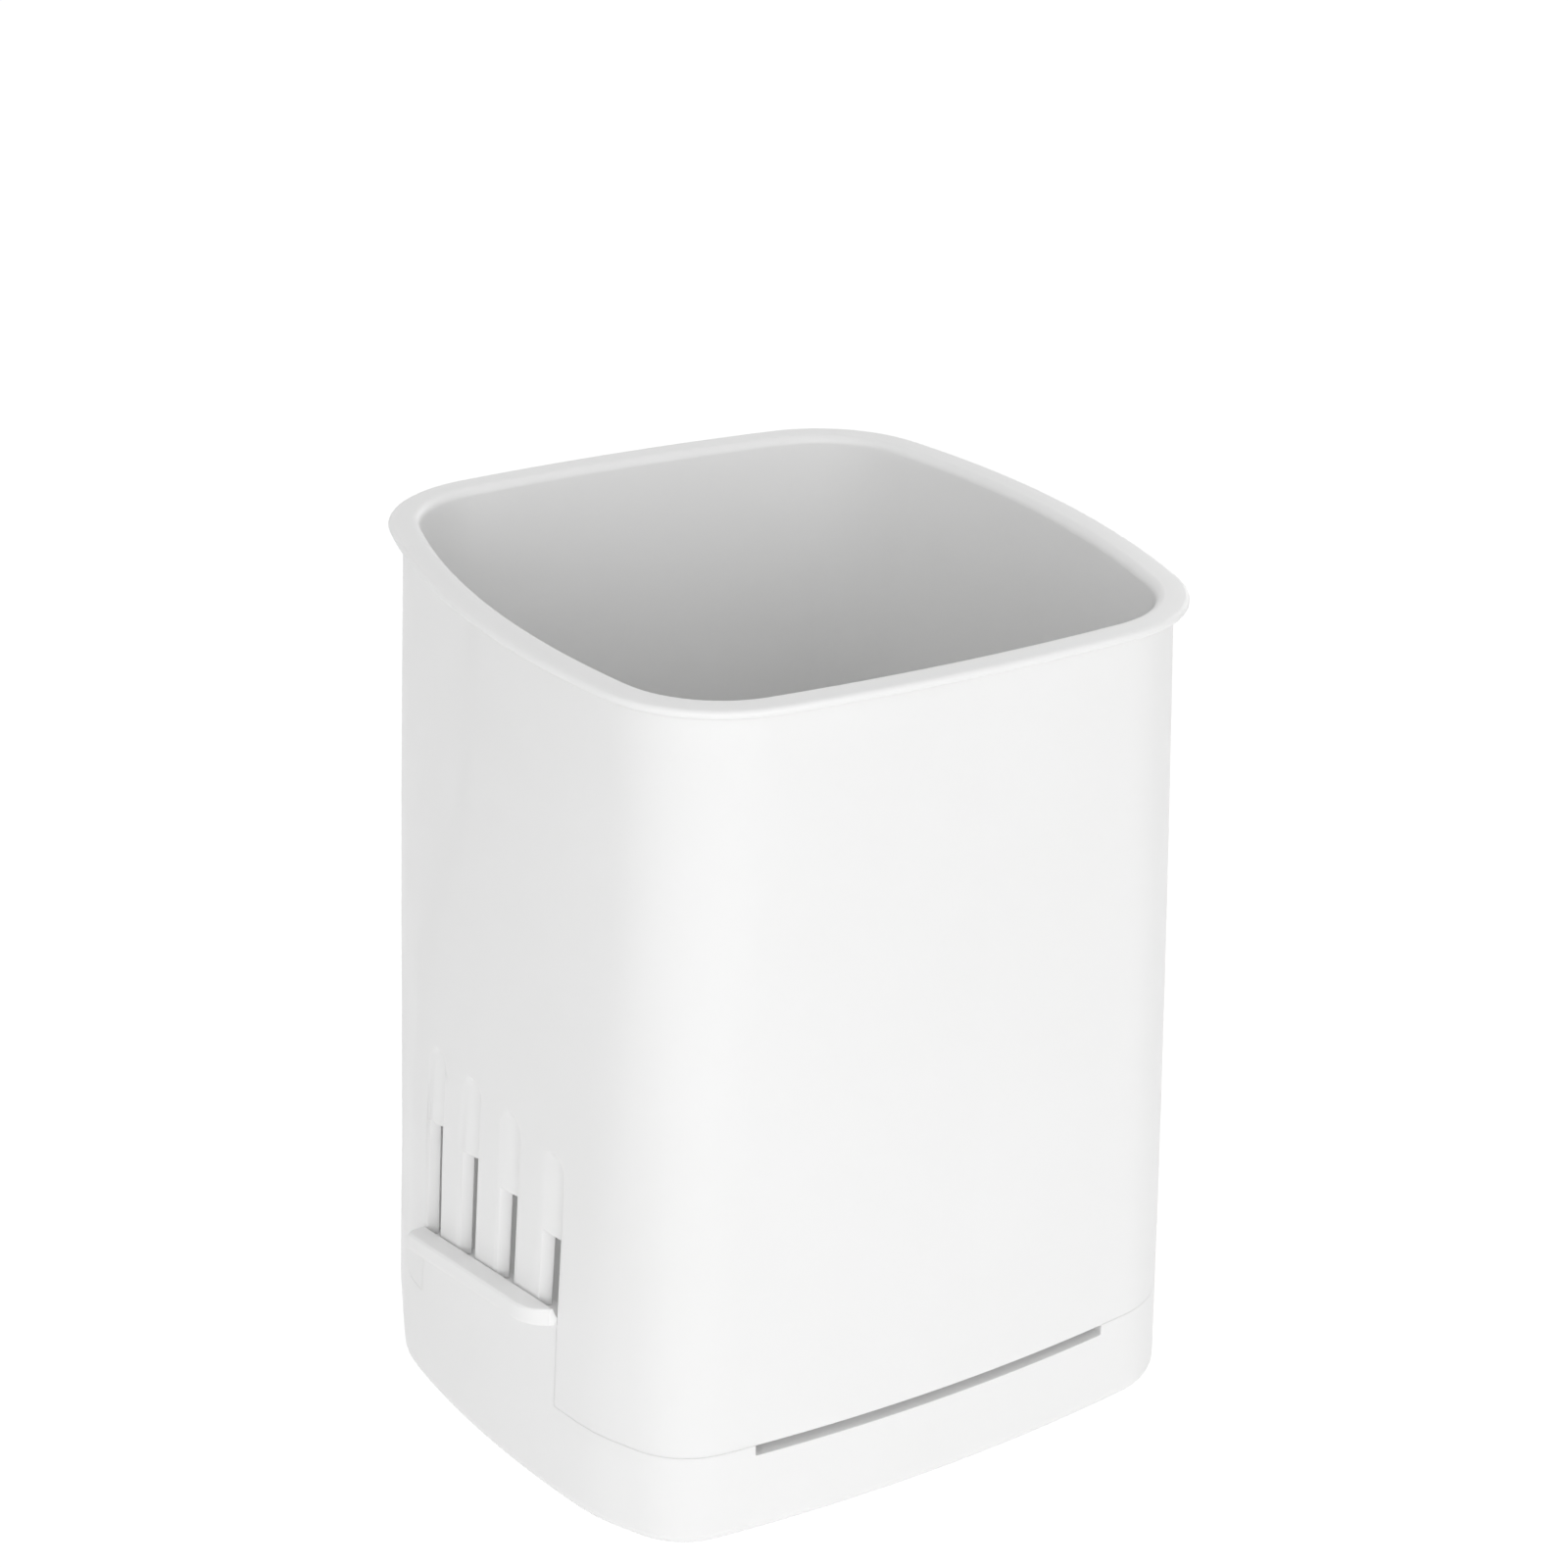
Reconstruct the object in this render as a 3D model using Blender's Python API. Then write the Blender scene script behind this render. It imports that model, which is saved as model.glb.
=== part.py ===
# Wall-mounted toothbrush holder: a tapered cup with side vents, a pull-off drip tray with finger
# lips, a lift-out drain plate, and a wall plate with a tongue that the cup slides down onto.
# Metres, +Z up. The wall is the plane Y = 0, the cup stands in front of it at -Y, and the origin
# is the middle of the adhesive pad's back face. Inside the functions, heights are measured from
# the tray's underside and X and Y from the cup's own upright axis.

import math

import bmesh
import bpy
from mathutils import Matrix, Vector

# Cup outside, with the rim's overhang left out
HEIGHT = 0.1105
TOP_WIDTH = 0.0820
TOP_DEPTH = 0.0860
BOTTOM_WIDTH = 0.0977
BOTTOM_DEPTH = 0.0878
TOP_CORNER_RADIUS = 0.0155
BOTTOM_CORNER_RADIUS = 0.0115
TOP_BOW_RADIUS = 0.1277
BOTTOM_BOW_RADIUS = 0.0727
FACE_BOW_RADIUS = 0.2583
WALL = 0.0022

# Out-turned rim
RIM_OVERHANG = 0.0019
RIM_THICKNESS = 0.0011
RIM_ROOT_RADIUS = 0.0004
RIM_INNER_RADIUS = 0.0012

# Clearances
SEAM_GAP = 0.0003
FIT_GAP = 0.0003
PLATE_EDGE_GAP = 0.0004

# Side vents, the same four on the left and on the right
VENT_COUNT = 4
VENT_WIDTH = 0.0042
VENT_PITCH = 0.0095
VENT_CENTRE_Y = -0.0083
VENT_TOP = 0.0489
VENT_DEPTH = 0.0012
VENT_OPEN_WIDTH = 0.0034
VENT_OPEN_TOP = 0.0374

# Drip tray
TRAY_HEIGHT = 0.0131
TRAY_FLOOR = 0.0020
FOOT_RADIUS = 0.0018
TRAY_INNER_RADIUS = 0.0012
SLIT_LENGTH = 0.0512
SLIT_DEPTH = 0.0015
LIP_TOP = 0.0255
LIP_THICKNESS = 0.0024
LIP_REACH = 0.0029
LIP_STEP = 0.0012
LIP_NEAR_RADIUS = 0.0040
LIP_FAR_RADIUS = 0.0010
LIP_END_INSET = 0.0003
LIP_LEAST_REACH = 0.0008
FIN_THICKNESS = 0.0010
FIN_RISE = 0.0060
FIN_END_ANGLE = math.radians(4)
POST_RADIUS = 0.0025
POST_SPACING_X = 0.022
POST_SPACING_Y = 0.022

# Drain plate
PLATE_RISE = 0.0140
PLATE_THICKNESS = 0.0020
DRAIN_COLUMNS = 2
DRAIN_ROWS = 7
DRAIN_WIDTH = 0.0030
DRAIN_LENGTH = 0.0240
DRAIN_PITCH_X = 0.0300
DRAIN_PITCH_Y = 0.0080

# Saddle on the cup's back, and the tongue that it slides down onto
SADDLE_WIDTH = 0.044
SADDLE_BOTTOM = 0.038
SADDLE_TOP = 0.096
SADDLE_LAND = 0.0057
HEAD_WIDTH = 0.032
HEAD_DEPTH = 0.0018
NECK_WIDTH = 0.022
SADDLE_LIP = 0.0016
TONGUE_INSET = 0.004
TONGUE_LEAD = 0.0010

# Wall plate and adhesive pad
BACKPLATE_WIDTH = 0.052
BACKPLATE_HEIGHT = 0.066
BACKPLATE_DEPTH = 0.0025
BACKPLATE_RADIUS = 0.006
PAD_BORDER = 0.0015
PAD_DEPTH = 0.0010

# Number of facets
SIDE_STEPS = 6
CORNER_STEPS = 8
FACE_STEPS = 3
ROUND_STEPS = 5
SMALL_STEPS = 3
LEVELS = 5
SADDLE_STEPS = 6
POST_SIDES = 16

# Depth that cuts and joined shapes go beyond a surface, and the angle of a sharp edge
BITE = 0.0010
SAME_POINT = 0.000001
SHARP_ANGLE = math.radians(30)

# Derived sizes
BODY_BOTTOM = TRAY_HEIGHT + SEAM_GAP
TAB_WIDTH = (VENT_COUNT - 1) * VENT_PITCH + VENT_WIDTH
TAB_FRONT = VENT_CENTRE_Y - TAB_WIDTH / 2
TAB_BACK = VENT_CENTRE_Y + TAB_WIDTH / 2
TAB_STEPS = 2 * VENT_COUNT
TAB_WALL_TOP = LIP_TOP - LIP_STEP
NOTCH_TOP = TAB_WALL_TOP + SEAM_GAP
LIP_BOTTOM = LIP_TOP - LIP_THICKNESS
LIP_FRONT = TAB_FRONT + LIP_END_INSET
LIP_BACK = TAB_BACK - LIP_END_INSET
FIN_INSET = WALL + FIT_GAP
PLATE_INSET = FIN_INSET + FIN_THICKNESS + PLATE_EDGE_GAP
POST_TOP = PLATE_RISE - FIT_GAP
FIN_TOP = TRAY_HEIGHT + FIN_RISE
SLOT_TOP = SADDLE_TOP - SADDLE_LAND


def meet(first, first_radius, second, second_radius):
    """The upper right crossing of two circles in plan."""
    across = second - first
    distance = across.length
    along = (first_radius ** 2 - second_radius ** 2 + distance ** 2) / (2 * distance)
    aside = math.sqrt(first_radius ** 2 - along ** 2)
    unit = across / distance
    foot = first + unit * along
    choices = [foot + Vector((-unit.y, unit.x)) * aside, foot - Vector((-unit.y, unit.x)) * aside]
    return max(choices, key=lambda point: point.x + point.y)


class Plan:
    """The cup's outline at one height: bowed sides, faces and corners that meet smoothly."""

    def __init__(self, z):
        share = z / HEIGHT
        self.z = z
        self.half_width = ((1 - share) * BOTTOM_WIDTH + share * TOP_WIDTH) / 2
        self.half_depth = ((1 - share) * BOTTOM_DEPTH + share * TOP_DEPTH) / 2
        self.side = 1 / ((1 - share) / BOTTOM_BOW_RADIUS + share / TOP_BOW_RADIUS)
        self.round = (1 - share) * BOTTOM_CORNER_RADIUS + share * TOP_CORNER_RADIUS
        self.side_middle = Vector((self.half_width - self.side, 0))
        self.face_middle = Vector((0, self.half_depth - FACE_BOW_RADIUS))
        self.corner = meet(self.side_middle, self.side - self.round,
                           self.face_middle, FACE_BOW_RADIUS - self.round)
        reach = self.corner - self.side_middle
        self.side_angle = math.atan2(reach.y, reach.x)
        reach = self.corner - self.face_middle
        self.face_angle = math.atan2(reach.y, reach.x)

    def side_x(self, y, inset=0.0):
        """Distance from the axis to the side wall at depth y."""
        radius = self.side - inset
        if abs(y) <= radius * math.sin(self.side_angle):
            return self.side_middle.x + math.sqrt(radius ** 2 - y ** 2)
        corner = self.round - inset
        return self.corner.x + math.sqrt(max(corner ** 2 - (abs(y) - self.corner.y) ** 2, 0.0))

    def face_y(self, x, inset=0.0):
        """Distance from the axis to the front or back wall at width x."""
        return self.face_middle.y + math.sqrt((FACE_BOW_RADIUS - inset) ** 2 - x ** 2)

    def corner_point(self, angle, inset):
        """Point on the corner's round in the upper right of the plan."""
        return self.corner + Vector((math.cos(angle), math.sin(angle))) * (self.round - inset)

    def quarter(self, inset):
        """Points from the middle of the right side to the middle of the back."""
        points = []
        for step in range(SIDE_STEPS):
            angle = self.side_angle * step / SIDE_STEPS
            points.append(self.side_middle + polar(self.side - inset, angle))
        for step in range(CORNER_STEPS):
            share = step / CORNER_STEPS
            points.append(self.corner_point((1 - share) * self.side_angle + share * self.face_angle, inset))
        for step in range(FACE_STEPS + 1):
            share = step / FACE_STEPS
            angle = (1 - share) * self.face_angle + share * math.pi / 2
            points.append(self.face_middle + polar(FACE_BOW_RADIUS - inset, angle))
        return points

    def ring(self, inset):
        """The whole outline, drawn in by inset, counter-clockwise from above."""
        quarter = self.quarter(inset)
        back = [Vector((-p.x, p.y)) for p in reversed(quarter[:-1])]
        half = quarter + back
        front = [Vector((p.x, -p.y)) for p in reversed(half[1:-1])]
        return [Vector((p.x, p.y, self.z)) for p in half + front]


def polar(radius, angle):
    return Vector((math.cos(angle), math.sin(angle))) * radius


def side_point(side, y, z, inset):
    """Point of the left (side -1) or right (side 1) wall, drawn in by inset."""
    return Vector((side * Plan(z).side_x(y, inset), y, z))


def arc(centre, radius, start, end, steps=ROUND_STEPS):
    """Points (inset, height) along a round of a profile."""
    angles = [start + (end - start) * step / steps for step in range(steps + 1)]
    return [(centre[0] + radius * math.cos(a), centre[1] + radius * math.sin(a)) for a in angles]


def closed_mesh(name, bm):
    """Finish a closed shape: outward faces, round surfaces smooth and edges sharp."""
    bmesh.ops.remove_doubles(bm, verts=bm.verts, dist=SAME_POINT)
    bmesh.ops.recalc_face_normals(bm, faces=bm.faces)
    mesh = bpy.data.meshes.new(name)
    bm.to_mesh(mesh)
    bm.free()
    mesh.shade_smooth()
    mesh.set_sharp_from_angle(angle=SHARP_ANGLE)
    return mesh


def loft(bm, stations, wrap=False):
    """Join a row of outlines with the same number of points into one closed body."""
    rings = [[bm.verts.new(point) for point in outline] for outline in stations]
    count = len(rings[0])
    pairs = list(zip(rings, rings[1:]))
    if wrap:
        pairs.append((rings[-1], rings[0]))
    for low, high in pairs:
        for i in range(count):
            j = (i + 1) % count
            bm.faces.new((low[i], low[j], high[j], high[i]))
    if not wrap:
        bm.faces.new(list(reversed(rings[0])))
        bm.faces.new(rings[-1])


def lofts(name, rows):
    """One mesh that holds a separate body for each row of outlines."""
    bm = bmesh.new()
    for stations in rows:
        loft(bm, stations)
    return closed_mesh(name, bm)


def box_stations(low, high):
    """The two ends of a box, for loft."""
    corners = [(low[0], low[1]), (high[0], low[1]), (high[0], high[1]), (low[0], high[1])]
    return [[Vector((x, y, z)) for x, y in corners] for z in (low[2], high[2])]


def side_block(side, stations, outer, inner):
    """A piece of a side wall between two insets; a station is (y, bottom, top)."""
    outlines = []
    for y, bottom, top in stations:
        outlines.append([side_point(side, y, bottom, outer), side_point(side, y, top, outer),
                         side_point(side, y, top, inner), side_point(side, y, bottom, inner)])
    return outlines


def spread(start, end, steps):
    return [start + (end - start) * step / steps for step in range(steps + 1)]


def t_outline(z, gap, back, narrow=0.0):
    """The tongue's T in plan at height z; gap widens it into the slot that it slides in."""
    head = HEAD_WIDTH / 2 + gap - narrow
    neck = NECK_WIDTH / 2 + gap - narrow
    front = HEAD_FRONT - gap
    step = HEAD_FRONT + HEAD_DEPTH + gap
    half = [(head, front), (head, step), (neck, step), (neck, back)]
    whole = half + [(-x, y) for x, y in reversed(half)]
    return [Vector((x, y, z)) for x, y in whole]


def rounded_rectangle(width, height, radius, y):
    """Upright rounded rectangle around the middle of the wall plate."""
    points = []
    for turn in range(4):
        corner = turn * math.pi / 2
        sign_x = 1 if turn in (0, 3) else -1
        sign_z = 1 if turn in (0, 1) else -1
        middle = Vector((sign_x * (width / 2 - radius), y, PAD_MIDDLE + sign_z * (height / 2 - radius)))
        for angle in spread(corner, corner + math.pi / 2, ROUND_STEPS):
            points.append(middle + Vector((math.cos(angle), 0, math.sin(angle))) * radius)
    return points


def material(name, color, roughness):
    finish = bpy.data.materials.new(name)
    finish.use_nodes = True
    shader = finish.node_tree.nodes["Principled BSDF"]
    shader.inputs["Base Color"].default_value = (*color, 1)
    shader.inputs["Roughness"].default_value = roughness
    shader.inputs["Metallic"].default_value = 0.0
    return finish


def piece(name, mesh, finish, frame):
    part = bpy.data.objects.new(name, mesh)
    part.parent = frame
    mesh.materials.append(finish)
    bpy.context.scene.collection.objects.link(part)
    return part


def cut(part, name, mesh, operation="DIFFERENCE"):
    """Cut a piece with a wire-drawn guide, or join the guide's shape to it."""
    guide = bpy.data.objects.new(name, mesh)
    guide.parent = part.parent
    guide.hide_render = True
    guide.display_type = "WIRE"
    bpy.context.scene.collection.objects.link(guide)
    modifier = part.modifiers.new(name, "BOOLEAN")
    modifier.operation = operation
    modifier.object = guide


def vent_middles():
    first = VENT_CENTRE_Y - (VENT_COUNT - 1) * VENT_PITCH / 2
    return [first + VENT_PITCH * index for index in range(VENT_COUNT)]


def vent_groove(side, middle):
    """Round-topped groove, open at its foot, that stops inside the wall."""
    radius = VENT_WIDTH / 2
    stations = []
    for angle in spread(math.pi, 0, 2 * ROUND_STEPS):
        rise = radius * math.sin(angle)
        stations.append((middle + radius * math.cos(angle), NOTCH_TOP - BITE, VENT_TOP - radius + rise))
    return side_block(side, stations, -BITE, VENT_DEPTH)


def vent_opening(side, middle):
    """Slot through the wall at the foot of a groove."""
    half = VENT_OPEN_WIDTH / 2
    ys = spread(middle - half, middle + half, SMALL_STEPS)
    stations = [(y, NOTCH_TOP - BITE / 2, VENT_OPEN_TOP) for y in ys]
    return side_block(side, stations, -BITE, WALL + BITE)


def tab_notch(side):
    """Gap in the cup's side wall that the tray's tab fills."""
    ys = spread(TAB_FRONT - SEAM_GAP, TAB_BACK + SEAM_GAP, TAB_STEPS)
    return side_block(side, [(y, BODY_BOTTOM - BITE, NOTCH_TOP) for y in ys], -BITE, WALL + BITE)


def cup_profile():
    """(inset, height) round the wall: up the outside, over the rim and down the inside."""
    rim_bottom = HEIGHT - RIM_THICKNESS
    bead = RIM_THICKNESS / 2
    outside = [(0.0, z) for z in spread(BODY_BOTTOM, rim_bottom - RIM_ROOT_RADIUS, LEVELS)]
    root_middle = (-RIM_ROOT_RADIUS, rim_bottom - RIM_ROOT_RADIUS)
    root = arc(root_middle, RIM_ROOT_RADIUS, 0, math.pi / 2, SMALL_STEPS)[1:]
    edge = arc((bead - RIM_OVERHANG, rim_bottom + bead), bead, -math.pi / 2, -3 * math.pi / 2)
    inner_middle = (WALL - RIM_INNER_RADIUS, HEIGHT - RIM_INNER_RADIUS)
    inner = arc(inner_middle, RIM_INNER_RADIUS, math.pi / 2, 0, SMALL_STEPS)
    inside = [(WALL, z) for z in spread(HEIGHT - RIM_INNER_RADIUS, BODY_BOTTOM, LEVELS)][1:]
    return outside + root + edge + inner + inside


def make_cup(frame):
    bm = bmesh.new()
    loft(bm, [Plan(z).ring(inset) for inset, z in cup_profile()], wrap=True)
    finish = material("cup white", (0.86, 0.86, 0.85), 0.34)
    cup = piece("cup_body", closed_mesh("cup_body", bm), finish, frame)
    grooves = [vent_groove(side, y) for side in (-1, 1) for y in vent_middles()]
    cut(cup, "vent_grooves", lofts("vent_grooves", grooves))
    openings = [vent_opening(side, y) for side in (-1, 1) for y in vent_middles()]
    cut(cup, "vent_openings", lofts("vent_openings", openings))
    cut(cup, "tab_notches", lofts("tab_notches", [tab_notch(side) for side in (-1, 1)]))
    saddle = []
    for x in spread(-SADDLE_WIDTH / 2, SADDLE_WIDTH / 2, SADDLE_STEPS):
        near = [Plan(z).face_y(x, WALL / 2) for z in (SADDLE_BOTTOM, SADDLE_TOP)]
        saddle.append([Vector((x, near[0], SADDLE_BOTTOM)), Vector((x, SADDLE_BACK, SADDLE_BOTTOM)),
                       Vector((x, SADDLE_BACK, SADDLE_TOP)), Vector((x, near[1], SADDLE_TOP))])
    cut(cup, "saddle", lofts("saddle", [saddle]), "UNION")
    slot = [t_outline(z, FIT_GAP, SADDLE_BACK + BITE) for z in (SADDLE_BOTTOM - BITE, SLOT_TOP)]
    cut(cup, "saddle_slot", lofts("saddle_slot", [slot]))


def tray_profile(reach=None):
    """(inset, height) from the underside, over the wall's top and down to the floor. Without a reach
    the wall stops at the seam; reach 0 is the tab's end, and more is how far the lip stands out."""
    foot = arc((FOOT_RADIUS, FOOT_RADIUS), FOOT_RADIUS, -math.pi / 2, -math.pi)
    seam = [(0.0, TRAY_HEIGHT), (WALL, TRAY_HEIGHT)]
    if reach is None:
        over = [seam[0]] * 5 + [seam[1]]
    elif reach == 0:
        over = [(0.0, TAB_WALL_TOP)] * 5 + [(WALL, TAB_WALL_TOP)]
    else:
        over = [(0.0, LIP_BOTTOM), (-reach, LIP_BOTTOM), (-reach, LIP_TOP), (-FIT_GAP, LIP_TOP),
                (-FIT_GAP, TAB_WALL_TOP), (WALL, TAB_WALL_TOP)]
    bend_middle = (WALL + TRAY_INNER_RADIUS, TRAY_FLOOR + TRAY_INNER_RADIUS)
    bend = arc(bend_middle, TRAY_INNER_RADIUS, math.pi, 3 * math.pi / 2, SMALL_STEPS)
    return foot + seam[:1] + over + seam[1:] + bend


def lip_reach(y):
    """How far the finger lip stands out at y, with a round at each end."""
    near = min(y - LIP_FRONT, LIP_NEAR_RADIUS)
    far = min(LIP_BACK - y, LIP_FAR_RADIUS)
    near_drop = LIP_REACH * (1 - math.sqrt(max(1 - (1 - near / LIP_NEAR_RADIUS) ** 2, 0.0)))
    far_drop = LIP_FAR_RADIUS - math.sqrt(max(LIP_FAR_RADIUS ** 2 - (LIP_FAR_RADIUS - far) ** 2, 0.0))
    return max(LIP_REACH - near_drop - far_drop, LIP_LEAST_REACH)


def side_columns():
    """Upright edges of the tray's side from front to back: (y, the lip's reach)."""
    quarter_turn = spread(0, math.pi / 2, ROUND_STEPS)
    lip = [LIP_FRONT + LIP_NEAR_RADIUS * (1 - math.cos(a)) for a in quarter_turn]
    far = [LIP_BACK - LIP_FAR_RADIUS * (1 - math.sin(a)) for a in spread(0, math.pi / 2, SMALL_STEPS)]
    lip += spread(lip[-1], far[0], TAB_STEPS)[1:-1] + far
    tab = [(TAB_FRONT, None), (TAB_FRONT, 0)] + [(y, lip_reach(y)) for y in lip]
    tab += [(TAB_BACK, 0), (TAB_BACK, None)]
    return tab + [(y, None) for y in spread(TAB_BACK, -TAB_FRONT, SMALL_STEPS)[1:]]


def tray_ring(step):
    """The outline at one step of the tray's profile, counter-clockwise from above."""
    inset, z = tray_profile()[step]
    quarter = Plan(z).quarter(inset)[SIDE_STEPS:]
    half = quarter + [Vector((-p.x, p.y)) for p in reversed(quarter[:-1])]
    side = [(y, *tray_profile(reach)[step]) for y, reach in side_columns()]
    right = [side_point(1, y, height, depth) for y, depth, height in side]
    left = [side_point(-1, y, height, depth) for y, depth, height in reversed(side)]
    back = [Vector((p.x, p.y, z)) for p in half]
    front = [Vector((-p.x, -p.y, z)) for p in half]
    return right + back + left + front


def corner_fin(side_x, side_y):
    """Curved fin that rises from the tray inside a corner of the cup and keeps the tray in line."""
    profile = [(WALL - BITE / 2, TRAY_FLOOR - BITE), (WALL - BITE / 2, TRAY_HEIGHT - SLIT_DEPTH / 2),
               (FIN_INSET, TRAY_HEIGHT - SLIT_DEPTH / 2), (FIN_INSET, FIN_TOP),
               (FIN_INSET + FIN_THICKNESS, FIN_TOP), (FIN_INSET + FIN_THICKNESS, TRAY_FLOOR - BITE)]
    base = Plan(TRAY_HEIGHT)
    outlines = []
    ends = (base.side_angle + FIN_END_ANGLE, base.face_angle - FIN_END_ANGLE)
    for angle in spread(*ends, CORNER_STEPS):
        outline = []
        for inset, z in profile:
            point = Plan(z).corner_point(angle, inset)
            outline.append(Vector((side_x * point.x, side_y * point.y, z)))
        outlines.append(outline)
    return outlines


def posts():
    """Six posts on the tray's floor that carry the drain plate."""
    bm = bmesh.new()
    height = POST_TOP - TRAY_FLOOR + BITE
    for x in (-POST_SPACING_X, POST_SPACING_X):
        for y in (-POST_SPACING_Y, 0.0, POST_SPACING_Y):
            place = Matrix.Translation((x, y, POST_TOP - height / 2))
            bmesh.ops.create_cone(bm, cap_ends=True, segments=POST_SIDES, radius1=POST_RADIUS,
                                  radius2=POST_RADIUS, depth=height, matrix=place)
    return closed_mesh("posts", bm)


def make_tray(frame):
    bm = bmesh.new()
    loft(bm, [tray_ring(step) for step in range(len(tray_profile()))])
    finish = material("tray white", (0.87, 0.87, 0.86), 0.34)
    tray = piece("base_tray", closed_mesh("base_tray", bm), finish, frame)
    front_wall = Plan(TRAY_HEIGHT).face_y(0)
    slit = box_stations((-SLIT_LENGTH / 2, -front_wall - BITE, TRAY_HEIGHT - SLIT_DEPTH),
                        (SLIT_LENGTH / 2, -front_wall + WALL + BITE, TRAY_HEIGHT + BITE))
    cut(tray, "front_slit", lofts("front_slit", [slit]))
    fins = [corner_fin(x, y) for x in (-1, 1) for y in (-1, 1)]
    cut(tray, "corner_fins", lofts("corner_fins", fins), "UNION")
    cut(tray, "plate_posts", posts(), "UNION")


def drain_slot(x, y):
    """Round-ended slot through the drain plate."""
    radius = DRAIN_WIDTH / 2
    straight = DRAIN_LENGTH / 2 - radius
    outline = []
    for sign, start in ((1, -math.pi / 2), (-1, math.pi / 2)):
        for angle in spread(start, start + math.pi, ROUND_STEPS):
            outline.append((x + sign * straight + radius * math.cos(angle), y + radius * math.sin(angle)))
    return [[Vector((a, b, z)) for a, b in outline]
            for z in (PLATE_RISE - BITE, PLATE_RISE + PLATE_THICKNESS + BITE)]


def make_plate(frame):
    bm = bmesh.new()
    loft(bm, [Plan(z).ring(PLATE_INSET) for z in (PLATE_RISE, PLATE_RISE + PLATE_THICKNESS)])
    finish = material("plate white", (0.84, 0.84, 0.83), 0.4)
    plate = piece("drain_plate", closed_mesh("drain_plate", bm), finish, frame)
    slots = []
    for column in range(DRAIN_COLUMNS):
        for row in range(DRAIN_ROWS):
            x = (column - (DRAIN_COLUMNS - 1) / 2) * DRAIN_PITCH_X
            y = (row - (DRAIN_ROWS - 1) / 2) * DRAIN_PITCH_Y
            slots.append(drain_slot(x, y))
    cut(plate, "drain_slots", lofts("drain_slots", slots))


def make_wall_plate(frame):
    outlines = [rounded_rectangle(BACKPLATE_WIDTH, BACKPLATE_HEIGHT, BACKPLATE_RADIUS, y)
                for y in (BACKPLATE_FRONT, BACKPLATE_BACK)]
    finish = material("wall plate white", (0.83, 0.83, 0.82), 0.45)
    wall_plate = piece("wall_plate", lofts("wall_plate", [outlines]), finish, frame)
    embed = BACKPLATE_FRONT + BACKPLATE_DEPTH / 2
    top = SLOT_TOP - FIT_GAP
    tongue = [t_outline(SADDLE_BOTTOM + TONGUE_INSET, 0.0, embed),
              t_outline(top - TONGUE_LEAD, 0.0, embed),
              t_outline(top, 0.0, embed, TONGUE_LEAD)]
    cut(wall_plate, "tongue", lofts("tongue", [tongue]), "UNION")


def make_pad(frame):
    width = BACKPLATE_WIDTH - 2 * PAD_BORDER
    height = BACKPLATE_HEIGHT - 2 * PAD_BORDER
    outlines = [rounded_rectangle(width, height, BACKPLATE_RADIUS - PAD_BORDER, y)
                for y in (WALL_PLANE - PAD_DEPTH, WALL_PLANE)]
    finish = material("pad grey", (0.55, 0.56, 0.57), 0.85)
    piece("adhesive_pad", lofts("adhesive_pad", [outlines]), finish, frame)


# Places behind the cup, from its back wall to the wall of the room
HEAD_FRONT = Plan(SADDLE_BOTTOM).face_y(0) + 2 * FIT_GAP
SADDLE_BACK = HEAD_FRONT + HEAD_DEPTH + FIT_GAP + SADDLE_LIP
BACKPLATE_FRONT = SADDLE_BACK + FIT_GAP
BACKPLATE_BACK = BACKPLATE_FRONT + BACKPLATE_DEPTH
WALL_PLANE = BACKPLATE_BACK + FIT_GAP + PAD_DEPTH
PAD_MIDDLE = (SADDLE_BOTTOM + SADDLE_TOP) / 2

for thing in list(bpy.data.objects):
    bpy.data.objects.remove(thing, do_unlink=True)

# The cup's axis and underside, placed so that the origin is on the wall
cup_frame = bpy.data.objects.new("cup_frame", None)
cup_frame.location = (0, -WALL_PLANE, -PAD_MIDDLE)
bpy.context.scene.collection.objects.link(cup_frame)

make_cup(cup_frame)
make_tray(cup_frame)
make_plate(cup_frame)
make_wall_plate(cup_frame)
make_pad(cup_frame)
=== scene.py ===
# Wall-mounted toothbrush holder in satin white plastic: a tapered cup with an out-turned rim and
# side vents, a drip tray with finger lips, a drain plate, and the wall plate and foam pad behind.
# Shapes are drawn round the cup's own upright axis, with heights from the tray's underside, and
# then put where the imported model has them. Metres.

import functools
import math

import bmesh
import bpy
from mathutils import Matrix, Vector


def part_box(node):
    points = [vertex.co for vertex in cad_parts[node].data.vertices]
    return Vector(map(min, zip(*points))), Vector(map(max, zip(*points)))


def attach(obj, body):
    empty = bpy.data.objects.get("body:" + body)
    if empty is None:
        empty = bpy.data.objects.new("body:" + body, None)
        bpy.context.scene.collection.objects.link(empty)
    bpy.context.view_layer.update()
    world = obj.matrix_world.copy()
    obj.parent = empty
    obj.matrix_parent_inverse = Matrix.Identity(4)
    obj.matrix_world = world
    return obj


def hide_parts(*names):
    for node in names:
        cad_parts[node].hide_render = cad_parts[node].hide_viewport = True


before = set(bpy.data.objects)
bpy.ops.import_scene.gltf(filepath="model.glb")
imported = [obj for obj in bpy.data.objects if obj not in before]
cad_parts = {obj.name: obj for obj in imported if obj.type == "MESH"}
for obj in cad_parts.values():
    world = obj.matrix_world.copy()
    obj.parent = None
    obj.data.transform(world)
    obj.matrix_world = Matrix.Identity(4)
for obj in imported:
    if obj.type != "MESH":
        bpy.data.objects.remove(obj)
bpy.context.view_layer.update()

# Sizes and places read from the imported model
tray_low, tray_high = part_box("base_tray")
plate_low, plate_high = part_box("drain_plate")
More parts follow.
